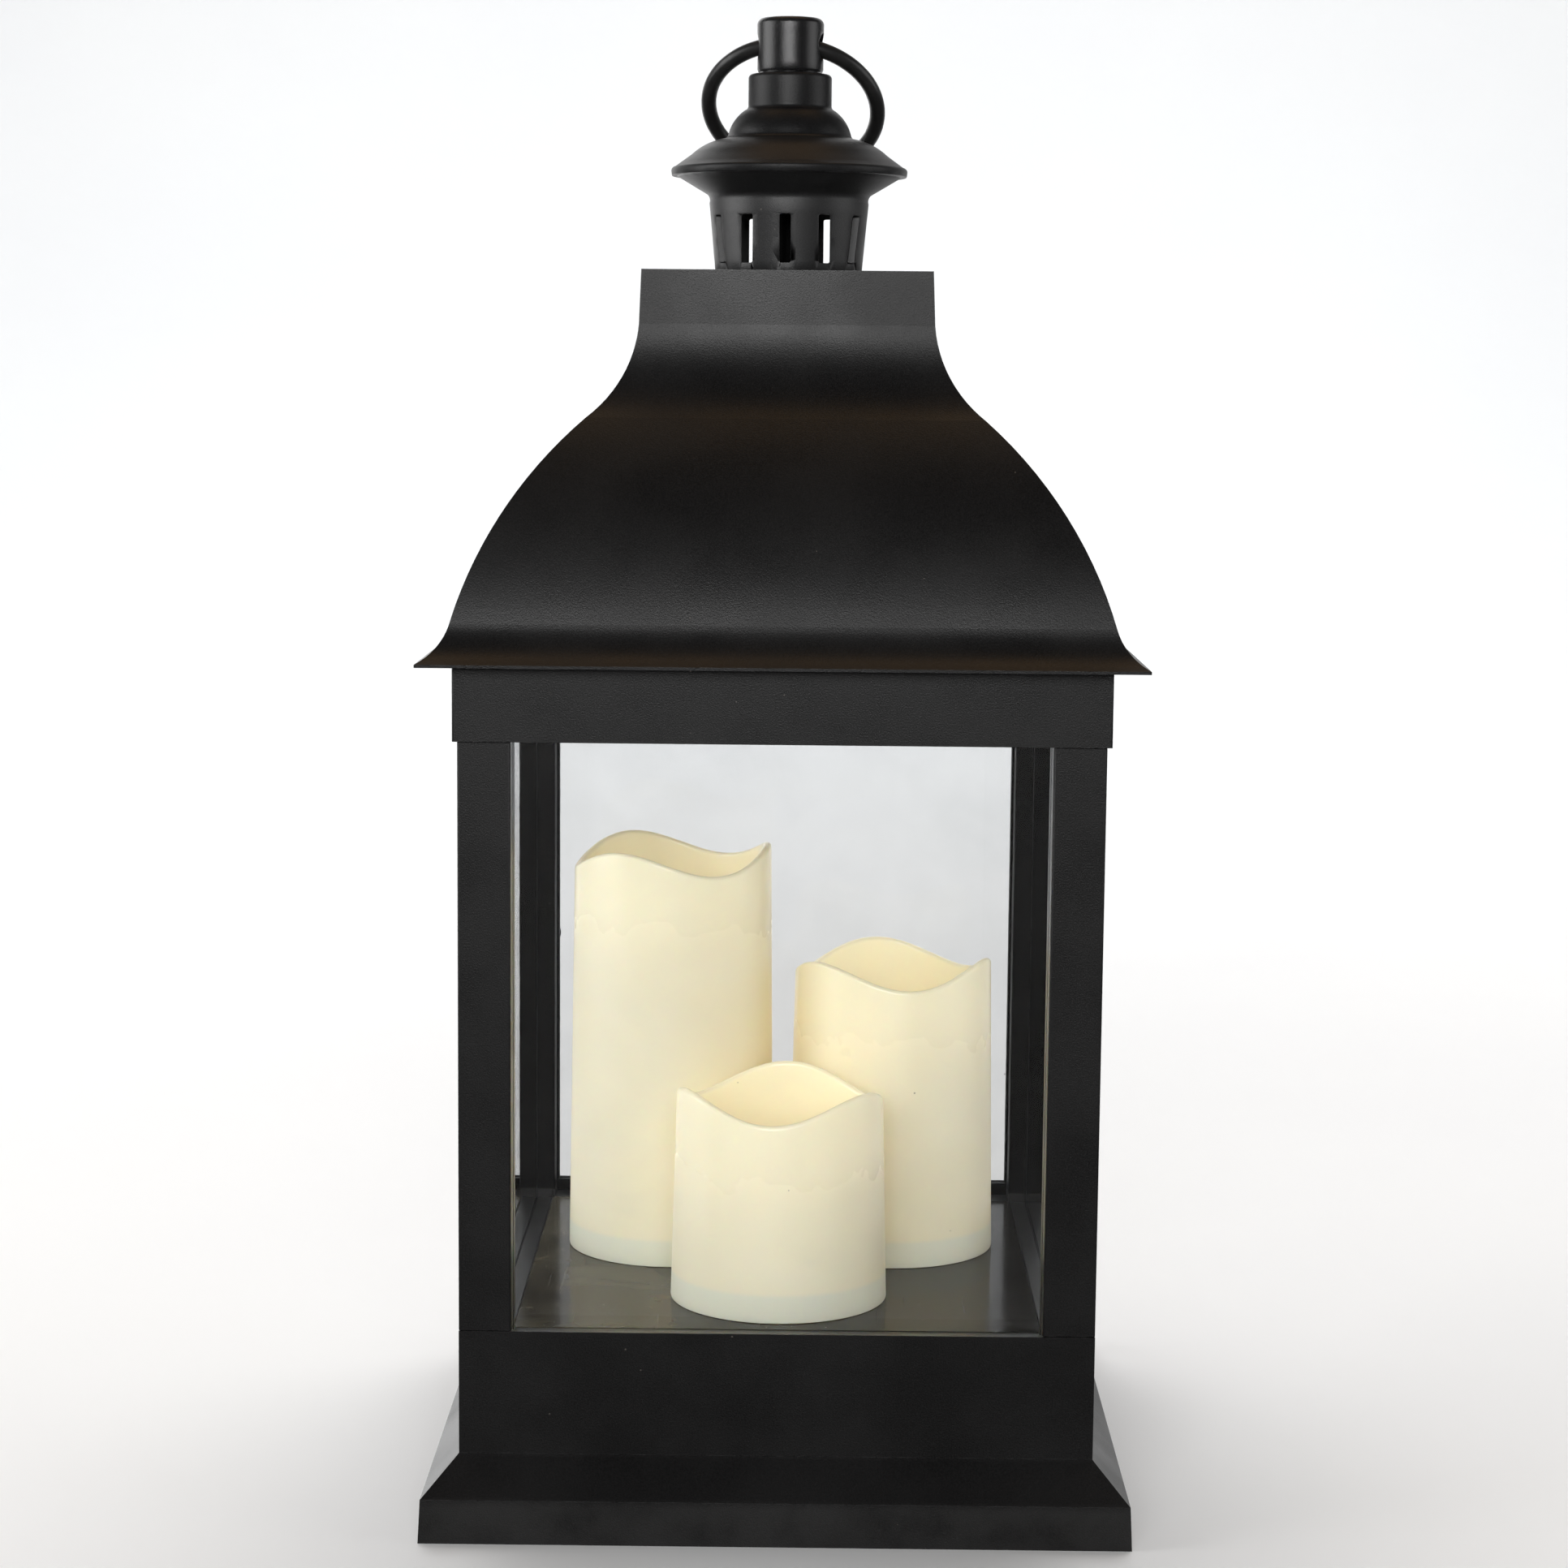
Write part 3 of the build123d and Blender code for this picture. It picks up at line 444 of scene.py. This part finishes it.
# The left side is painted a paler warm grey that fades out to the right: a painted reflection.
toward_left = inverted(tree, step_up(tree, across, LEFT_REFLECTION_FULL_AT, LEFT_REFLECTION_GONE_AT))
overlay = maths(tree, "MULTIPLY", toward_left, blend_values(tree, marks.outputs["Smudge"], 0.25, 0.9))
with_painted_reflection = blend_colours(tree, overlay, scratched, LEFT_REFLECTION_TONE)
crumbs = tint(tree, dust.outputs["Specks"], 0.7, with_painted_reflection, (0.35, 0.33, 0.3))
join(tree, crumbs, shader.inputs["Base Color"])
wiped = blend_values(tree, marks.outputs["Smudge"], 0.11, 0.22)
join(tree, blend_values(tree, dust.outputs["Specks"], wiped, 0.7), shader.inputs["Roughness"])
add_bump(tree, shader, grain.outputs["Height"], 0.03, 0.2 * MM)
dress(panel_gloss, "floor_panel")

# %% [markdown]
# ## Clear panes
# The panes are clear sheet with a faint cool tint, thin smudges and a few crumbs of dust. The shader
# is glass through and through: smooth, with full transmission. Real sheet has an index of refraction
# near 1.5. A lower one is set here, because mirror images of large studio lamps in four panes would
# veil the candles. Light from lamps would have to be found through that glass by chance, so for
# shadow rays a Transparent shader takes its place and the cabin stays lit.

# %% Finish: clear pane
clear_pane, tree, shader = new_finish("clear_pane", Roughness=0.0, IOR=1.25, Transmission_Weight=1.0)
marks = place_group(tree, handling_marks, Smudge_Size=45 * MM, Scratch_Width=0.4 * MM)
dust = place_group(tree, dust_specks, Spacing=14 * MM, Speck_Size=0.03, Share=0.25)
overlay = blend_colours(tree, marks.outputs["Smudge"], (0.845, 0.852, 0.855), (0.805, 0.813, 0.816))
specked = blend_colours(tree, dust.outputs["Specks"], overlay, (0.25, 0.25, 0.24))
join(tree, specked, shader.inputs["Base Color"])
add_bump(tree, shader, marks.outputs["Smudge"], 0.02, 0.3 * MM)
shadow_clear = add_node(tree, "BsdfTransparent")
shadow_clear.inputs["Color"].default_value = (0.88, 0.885, 0.885, 1.0)
ray = tree.nodes.new("ShaderNodeLightPath")
swap = tree.nodes.new("ShaderNodeMixShader")
join(tree, ray.outputs["Is Shadow Ray"], swap.inputs["Fac"])
join(tree, shader.outputs["BSDF"], swap.inputs[1])
join(tree, shadow_clear.outputs["BSDF"], swap.inputs[2])
join(tree, swap.outputs["Shader"], tree.nodes["Material Output"].inputs["Surface"])
dress(clear_pane, "pane_front", "pane_left", "pane_right", "door_pane")

# %% [markdown]
# ## Zinc-plated steel
# Screws, rod, nut, washer, hinge pins and the battery contacts are bright zinc-plated steel with a
# faint brushed grain and dull patches.

# %% Finish: zinc


def each_candle(*pieces):
    """The node names of these pieces on all three candles."""
    return [f"candle_{name}_{piece}" for name in CANDLES for piece in pieces]


zinc_steel, tree, shader = new_finish("zinc_steel", Metallic=1.0, Roughness=0.35)
grain = place_group(tree, moulded_grain, Grain_Size=0.3 * MM, Mottle_Size=3 * MM)
plating_tone = blend_colours(tree, grain.outputs["Mottle"], (0.46, 0.46, 0.47), (0.62, 0.61, 0.58))
join(tree, plating_tone, shader.inputs["Base Color"])
join(tree, blend_values(tree, grain.outputs["Fleck"], 0.28, 0.45), shader.inputs["Roughness"])
add_bump(tree, shader, grain.outputs["Height"], 0.15, 0.05 * MM)
dress(
    zinc_steel, "chimney_rod", "chimney_washer", "chimney_nut", "post_foot_screws", "post_top_screws",
    "roof_screws", "door_knob_screw", "door_hinge_pins", "door_catch",
    *each_candle("contacts", "cover_screw"),
)

# %% [markdown]
# ## Candle works
# Inside and under each candle are a pale green battery holder and cover, a switch, two cells, a lamp
# board and the frosted flame cover. They are small, so each gets one shared recipe: a moulded
# skin with its own colour and gloss.

# %% Recipe: a small moulding


def small_moulding(name, dark, pale, roughness, **values):
    """A fine-skinned part in one colour, drifting between two close tones."""
    finish, tree, shader = new_finish(name, Roughness=roughness, **values)
    grain = place_group(tree, moulded_grain, Grain_Size=0.35 * MM, Mottle_Size=8 * MM)
    join(tree, blend_colours(tree, grain.outputs["Mottle"], dark, pale), shader.inputs["Base Color"])
    satin = blend_values(tree, grain.outputs["Fleck"], roughness - 0.05, roughness + 0.08)
    join(tree, satin, shader.inputs["Roughness"])
    add_bump(tree, shader, grain.outputs["Height"], 0.15, 0.05 * MM)
    return finish


# %% Finishes: candle works
holder_pale_green = small_moulding("holder_pale_green", (0.60, 0.66, 0.55), (0.66, 0.71, 0.60), 0.45)
dress(holder_pale_green, *each_candle("battery_holder", "battery_cover"))
switch_black = small_moulding("switch_black", (0.012, 0.012, 0.012), (0.02, 0.02, 0.02), 0.4)
dress(switch_black, *each_candle("switch_slider"))
battery_jacket = small_moulding(
    "battery_jacket", (0.05, 0.055, 0.07), (0.08, 0.085, 0.1), 0.25, Metallic=0.6,
)
dress(battery_jacket, *each_candle("batteries"))
board_green = small_moulding("board_green", (0.012, 0.09, 0.035), (0.02, 0.13, 0.05), 0.3)
dress(board_green, *each_candle("lamp_board"))
flame_clear = small_moulding(
    "flame_clear", (0.86, 0.74, 0.50), (0.92, 0.82, 0.60), 0.3,
    Subsurface_Weight=0.4, Subsurface_Scale=3 * MM,
)
dress(flame_clear, *each_candle("flame_cover"))

# %% [markdown]
# ## Candle wax
# The shells look like ivory wax but are a thin, milky plastic: light sinks in and spreads, which is
# subsurface scattering. At the foot the green battery holder behind the wall shows through as a cool
# band. The tone also drifts slowly, and the rim is glossier and painted warmer, a painted glow for
# light that gets in from both sides. The candles are switched off, but a weak warm emission over the
# whole shell, stronger towards the rim, is a painted glow for room light that soaks through the thin
# wall. One group works out the band from the height above the candle's foot and the painted glow
# from the depth below its rim.

# %% Node group: wax tint and painted glow
GLOW_DEPTH = 60 * MM            # the glow fades out this far below the rim
tree, given, result = new_group(
    "wax_tint_and_glow",
    {"Foot": 0.0, "Rim": 0.1, "Band": 9.5 * MM, "Soft": 1.2 * MM},
    {"Foot Band": "NodeSocketFloat", "Glow": "NodeSocketFloat", "Drift": "NodeSocketFloat"},
)
place = own_place(tree)
level_now = split_axes(tree, place)["Z"]
height = maths(tree, "SUBTRACT", level_now, given.outputs["Foot"])
band_low = maths(tree, "SUBTRACT", given.outputs["Band"], given.outputs["Soft"])
band_high = maths(tree, "ADD", given.outputs["Band"], given.outputs["Soft"])
join(tree, inverted(tree, step_up(tree, height, band_low, band_high)), result.inputs["Foot Band"])
below_rim = maths(tree, "SUBTRACT", given.outputs["Rim"], level_now)
join(tree, inverted(tree, step_up(tree, below_rim, 0.0, GLOW_DEPTH)), result.inputs["Glow"])
drift = add_node(tree, "TexNoise", scale=22.0, detail=2.0)
join(tree, place, drift.inputs["Vector"])
join(tree, step_up(tree, drift.outputs["Fac"], 0.3, 0.7), result.inputs["Drift"])
wax_tint_and_glow = tree
print("group", tree.name)

# %% Finish: candle wax


def candle_wax(name, foot, rim):
    """The wax of one candle, whose foot and rim stand at these heights."""
    finish, tree, shader = new_finish(
        name, Roughness=0.36, Subsurface_Weight=0.3, Subsurface_Radius=(1.0, 0.6, 0.25),
        Subsurface_Scale=6 * MM, Specular_IOR_Level=0.5, Emission_Strength=0.22,
    )
    wax = place_group(tree, wax_tint_and_glow, Foot=foot, Rim=rim)
    grain = place_group(tree, moulded_grain, Grain_Size=0.8 * MM, Mottle_Size=15 * MM)
    ivory = blend_colours(tree, wax.outputs["Drift"], (0.92, 0.85, 0.64), (0.93, 0.865, 0.67))
    # The base colour is painted warmer towards the rim: a painted glow.
    body = blend_colours(tree, wax.outputs["Glow"], ivory, (0.94, 0.865, 0.64))
    cool = tint(tree, wax.outputs["Foot Band"], 0.85, body, (0.79, 0.82, 0.70))
    join(tree, cool, shader.inputs["Base Color"])
    # The emission is a painted glow, stronger towards the rim, for room light soaking through the wall.
    painted_glow = blend_colours(tree, wax.outputs["Glow"], (0.34, 0.22, 0.06), (1.0, 0.84, 0.52))
    join(tree, painted_glow, shader.inputs["Emission Color"])
    satin = blend_values(tree, grain.outputs["Mottle"], 0.33, 0.42)
    join(tree, blend_values(tree, wax.outputs["Glow"], satin, 0.2), shader.inputs["Roughness"])
    add_bump(tree, shader, grain.outputs["Height"], 0.04, 0.05 * MM)
    return finish


# %% [markdown]
# ## The candle shells
# A molten pillar candle has a soft rim that rises and falls in three waves. The CAD shell has the
# right size but a sharp rim, so a finer mesh stands for it: one profile is walked from the foot up the
# outer wall, over a rounded lip, down into the well and back inside to the foot, and repeated
# around the axis. Each ring of points is raised by the wave where it is near the rim. The result
# is one closed skin of quads.

# %% Sizes of a candle shell
AROUND = 160                    # steps round the axis
RIM_WAVE = 4.0 * MM             # the rim rises and falls this much about its mean
WAVES = 3
RIM_CRESTS = {"tall": 0.0, "medium": 100.0, "short": 85.0}      # degrees, where a wave is highest
TOP_RADIUS = 35.6 * MM
LIP = 2.8 * MM                  # the wall's thickness at the rim
WALL = 2.4 * MM                 # the wall's thickness below the well
WELL_DEPTH = 30.0 * MM
WELL_TAPER = 0.8 * MM           # the well is this much narrower at its foot
WELL_CORNER = 2.5 * MM
WELL_FLOOR = 2.0 * MM           # the thickness of the well's floor
FLOOR_RING = 20.0 * MM          # a ring of points half way across the floor
WICK_HOLE = 5.5 * MM
WICK_ROUND = 0.4 * MM
WALL_STEPS = 24
LIP_STEPS = 12
WELL_STEPS = 12
CORNER_STEPS = 5
print("shells with", AROUND, "steps round and a rim of", WAVES, "waves")

# %% Section of a candle shell
# Each point is (radius, height, how far it follows the rim's wave).


def outer_wall(foot, foot_radius, shoulder):
    """Up the outside, from the small round at the foot to the lip."""
    points = [
        (foot_radius - 0.5 * MM, foot, 0.0),
        (foot_radius - 0.12 * MM, foot + 0.15 * MM, 0.0),
        (foot_radius, foot + 0.6 * MM, 0.0),
    ]
    for step in range(1, WALL_STEPS + 1):
        t = step / WALL_STEPS
        points.append((foot_radius + (TOP_RADIUS - foot_radius) * t, foot + (shoulder - foot) * t, t ** 3))
    return points


def rounded_lip(shoulder):
    """Over the rim in a half circle."""
    lip = LIP / 2
    points = []
    for step in range(1, LIP_STEPS):
        turn = math.pi * step / LIP_STEPS
        points.append((TOP_RADIUS - lip + lip * math.cos(turn), shoulder + lip * math.sin(turn), 1.0))
    return points


def well_wall(well_floor, shoulder):
    """Down into the well, and round the corner to its floor."""
    corner_top = well_floor + WELL_CORNER
    well_radius = TOP_RADIUS - LIP
    corner_middle = well_radius - WELL_TAPER - WELL_CORNER
    points = []
    for step in range(WELL_STEPS + 1):
        t = 1 - step / WELL_STEPS
        points.append((well_radius - WELL_TAPER * (1 - t), corner_top + (shoulder - corner_top) * t, t ** 2))
    for step in range(1, CORNER_STEPS + 1):
        turn = math.pi / 2 * step / CORNER_STEPS
        points.append((
            corner_middle + WELL_CORNER * math.cos(turn), corner_top - WELL_CORNER * math.sin(turn), 0.0,
        ))
    return points


def floor_and_inside(well_floor, foot, foot_radius):
    """Across the well's floor, through the wick's hole, back under the floor and down the inside."""
    under = well_floor - WELL_FLOOR
    return [
        (FLOOR_RING, well_floor, 0.0),
        (WICK_HOLE + WICK_ROUND, well_floor, 0.0),
        (WICK_HOLE, well_floor - WICK_ROUND, 0.0),
        (WICK_HOLE, under, 0.0),
        (FLOOR_RING, under, 0.0),
        (TOP_RADIUS - WALL - 0.4 * MM, under, 0.0),
        (foot_radius - WALL, foot, 0.0),
    ]


# %% Meshes: the three candle shells


def shell_points(middle, profile, crest):
    """The section repeated round the candle's axis, raised by the rim's wave."""
    points = []
    for step in range(AROUND):
        angle = 2 * math.pi * step / AROUND
        wave = RIM_WAVE * math.cos(WAVES * (angle - crest))
        for radius, height, follow in profile:
            x = middle.x + radius * math.cos(angle)
            y = middle.y + radius * math.sin(angle)
            points.append((x, y, height + wave * follow))
    return points


def shell_quads(count):
    """Quads between each section of count points and the next one, all the way round."""
    faces = []
    for step in range(AROUND):
        here = step * count
        there = (step + 1) % AROUND * count
        for k in range(count):
            k_next = (k + 1) % count
            faces.append((here + k, there + k, there + k_next, here + k_next))
    return faces


def candle_shell(name):
    """The fine shell of one candle, standing for its CAD node."""
    node = f"candle_{name}_shell"
    low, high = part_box(node)
    foot_radius = (high.x - low.x) / 2
    rim_mean = high.z - RIM_WAVE
    shoulder = rim_mean - LIP / 2
    well_floor = rim_mean - WELL_DEPTH
    profile = outer_wall(low.z, foot_radius, shoulder) + rounded_lip(shoulder)
    profile += well_wall(well_floor, shoulder) + floor_and_inside(well_floor, low.z, foot_radius)
    points = shell_points((low + high) / 2, profile, math.radians(RIM_CRESTS[name]))
    mesh = bpy.data.meshes.new(f"{node}_fine")
    mesh.from_pydata(points, [], shell_quads(len(profile)))
    mesh.validate()
    mesh.polygons.foreach_set("use_smooth", [True] * len(mesh.polygons))
    mesh.set_sharp_from_angle(angle=math.radians(50))
    shell = bpy.data.objects.new(f"{node}_fine", mesh)
    bpy.context.scene.collection.objects.link(shell)
    mesh.materials.append(candle_wax(f"candle_wax_{name}", low.z, high.z))
    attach(shell, f"candle_{name}")
    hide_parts(node)
    print(shell.name, len(mesh.vertices), "points, rim at", round(high.z, 4))


for candle_name in CANDLES:
    candle_shell(candle_name)

# %% [markdown]
# ## Softened edges
# A mould is never cut to a perfectly sharp corner, and the small round of each edge is what catches
# the light. A Weld modifier joins the faces of the imported mesh, and a Bevel modifier rounds
# every sharp corner by a few tenths of a millimetre. Both are modifiers, so the CAD mesh under them
# stays as it is. The roof goes without: on its long curved faces the bevel's hardened normals
# shade whole triangles dark.

# %% Edge rounds
EDGE_ROUNDS = {                 # millimetres
    "base_shell": 0.45,
    "header_band": 0.4,
    "post_front_left": 0.35,
    "post_front_right": 0.35,
    "post_rear_left": 0.35,
    "post_rear_right": 0.35,
    "door_frame": 0.4,
    "chimney_vent": 0.2,
    "chimney_cap": 0.2,
    "finial": 0.2,
}


def round_edges(name, width):
    """Rounds the sharp edges of a CAD node by a width in millimetres."""
    node = nodes[name]
    weld = node.modifiers.new("weld", "WELD")
    weld.merge_threshold = 0.002 * MM
    bevel = node.modifiers.new("edge_round", "BEVEL")
    bevel.width = width * MM
    bevel.segments = 2
    bevel.limit_method = "ANGLE"
    bevel.angle_limit = math.radians(40)
    bevel.harden_normals = True
    bevel.miter_outer = "MITER_ARC"


for node_name, round_width in EDGE_ROUNDS.items():
    round_edges(node_name, round_width)
print("rounded", len(EDGE_ROUNDS), "nodes")

# %% [markdown]
# ## Floor and backdrop
# A plain pale sweep: the floor runs back and curves up into a wall, so there is no horizon line. It
# is built as one strip of quads along a curved section. Black plastic would
# mirror so large a pale sheet as a haze, so the sweep is kept out of reflections.

# %% Stage
SWEEP_HALF_WIDTH = 6.0
SWEEP_FRONT = -4.0
SWEEP_BACK = 3.2
SWEEP_ROUND = 1.2
SWEEP_TOP = 5.0
SWEEP_STEPS = 16

flat_end = SWEEP_BACK - SWEEP_ROUND
section = [(SWEEP_FRONT, 0.0), (flat_end, 0.0)]
for step in range(1, SWEEP_STEPS + 1):
    turn = math.pi / 2 * step / SWEEP_STEPS
    section.append((flat_end + SWEEP_ROUND * math.sin(turn), SWEEP_ROUND - SWEEP_ROUND * math.cos(turn)))
section.append((SWEEP_BACK, SWEEP_TOP))
sweep_points = [(side * SWEEP_HALF_WIDTH, y, z) for y, z in section for side in (-1, 1)]
sweep_faces = [(2 * k, 2 * k + 1, 2 * k + 3, 2 * k + 2) for k in range(len(section) - 1)]
sweep_mesh = bpy.data.meshes.new("studio_sweep")
sweep_mesh.from_pydata(sweep_points, [], sweep_faces)
sweep_mesh.polygons.foreach_set("use_smooth", [True] * len(sweep_faces))
sweep = bpy.data.objects.new("studio_sweep", sweep_mesh)
bpy.context.scene.collection.objects.link(sweep)
sweep_paint, tree, shader = new_finish("sweep_paint", Roughness=0.9, Specular_IOR_Level=0.1)
paper = place_group(tree, moulded_grain, Grain_Size=3 * MM, Mottle_Size=400 * MM)
paper_tone = blend_colours(tree, paper.outputs["Mottle"], (0.90, 0.90, 0.90), (0.915, 0.915, 0.91))
join(tree, paper_tone, shader.inputs["Base Color"])
sweep_mesh.materials.append(sweep_paint)
sweep.visible_glossy = False
print("sweep", len(sweep_faces), "faces")

# %% [markdown]
# ## Studio light
# Large soft lamps keep the shadows gentle: one in front, a weaker one on the left and the weakest on
# the right. The strongest lamp is aimed at the sweep, and is kept out of reflections.

# %% Lamps


def soft_lamp(name, place, target, size, power, in_reflections=True):
    """An area lamp at a place, turned to a target, with its width and height in metres."""
    light = bpy.data.lights.new(name, "AREA")
    light.shape = "RECTANGLE"
    light.size, light.size_y = size
    light.energy = power
    lamp = bpy.data.objects.new(name, light)
    lamp.location = place
    lamp.rotation_euler = (Vector(target) - Vector(place)).to_track_quat("-Z", "Y").to_euler()
    lamp.visible_glossy = in_reflections
    bpy.context.scene.collection.objects.link(lamp)
    print(name, power, "W")


lantern_middle = (0.0, 0.0, 0.25)
soft_lamp("lamp_front", (-0.25, -2.9, 1.08), (0.0, 0.0, 0.35), (1.9, 1.0), 39)
soft_lamp("lamp_left", (-1.9, -0.2, 0.7), lantern_middle, (1.5, 1.5), 18.5)
soft_lamp("lamp_right", (2.0, -0.2, 0.7), lantern_middle, (1.4, 1.4), 7)
soft_lamp("lamp_sweep", (0.0, 1.9, 3.0), (0.0, 1.7, 0.0), (4.5, 2.6), 106, in_reflections=False)
bpy.data.lights["lamp_sweep"].color = (0.98, 1.0, 1.02)

# %% [markdown]
# ## The room
# Black plastic shows what it mirrors, so the room is painted for the reflections: dim and even, a
# warm patch high up and a little to the rear that the upward faces pick up, and a bright backdrop
# behind, brighter on its left. Rays that come from the camera, straight or through clear panes only,
# see one pale tone in its place, so what lies past the sweep stays plain.

# %% Room tones
DIM_ROOM = (0.045, 0.045, 0.047)
WARM_CEILING = (0.88, 0.55, 0.27)
BACKDROP_RIGHT = (0.7, 0.7, 0.7)
BACKDROP_LEFT = (1.6, 1.6, 1.6)
PALE_BEYOND = (0.86, 0.87, 0.88)

room = bpy.data.worlds.new("room")
bpy.context.scene.world = room
room.use_nodes = True
tree = room.node_tree
toward = split_axes(tree, tree.nodes.new("ShaderNodeTexCoord").outputs["Generated"])
overhead = step_up(tree, toward["Z"], 0.8, 0.99)
ceiling = maths(tree, "MULTIPLY", overhead, step_up(tree, toward["Y"], -0.1, 0.25))
backdrop = step_up(tree, toward["Y"], 0.55, 0.9)
room_tone = blend_colours(tree, ceiling, DIM_ROOM, WARM_CEILING)
left_side = step_up(tree, maths(tree, "MULTIPLY", toward["X"], -1.0), -0.3, 0.3)
back_tone = blend_colours(tree, left_side, BACKDROP_RIGHT, BACKDROP_LEFT)
lit_room = blend_colours(tree, backdrop, room_tone, back_tone)
print("room with a ceiling patch and a backdrop")

# %% What the camera sees of the room
ray = tree.nodes.new("ShaderNodeLightPath")
unscattered = maths(tree, "LESS_THAN", ray.outputs["Diffuse Depth"], 0.5)
through_pane = maths(tree, "MULTIPLY", ray.outputs["Is Transmission Ray"], unscattered)
seen = maths(tree, "MAXIMUM", ray.outputs["Is Camera Ray"], through_pane)
join(tree, blend_colours(tree, seen, lit_room, PALE_BEYOND), tree.nodes["Background"].inputs["Color"])
print("world", room.name, len(tree.nodes), "nodes")

# %% [markdown]
# ## Camera
# The camera looks straight at the front from the height of the roof, tilted down by seven degrees,
# with a long lens, so the upright edges stay nearly parallel.

# %% Camera
CAMERA_PLACE = (0.0074042, -1.1804966, 0.3883942)
YAW, PITCH, ROLL = -0.0062, -0.1266, 0.0092      # radians
LENS = 77.063                                     # mm on a 36 mm sensor

forward = Vector((math.sin(YAW) * math.cos(PITCH), math.cos(YAW) * math.cos(PITCH), math.sin(PITCH)))
level = Vector((math.cos(YAW), -math.sin(YAW), 0.0))
upright = level.cross(forward)
right = level * math.cos(ROLL) + upright * math.sin(ROLL)
up = upright * math.cos(ROLL) - level * math.sin(ROLL)
camera_data = bpy.data.cameras.new("camera")
camera_data.sensor_width = 36.0
camera_data.lens = LENS
camera = bpy.data.objects.new("camera", camera_data)
bpy.context.scene.collection.objects.link(camera)
camera.matrix_world = Matrix.Translation(CAMERA_PLACE) @ Matrix((right, up, -forward)).transposed().to_4x4()
bpy.context.scene.camera = camera
bpy.context.scene.view_settings.view_transform = "Standard"
print("camera at", [round(v, 3) for v in camera.location])
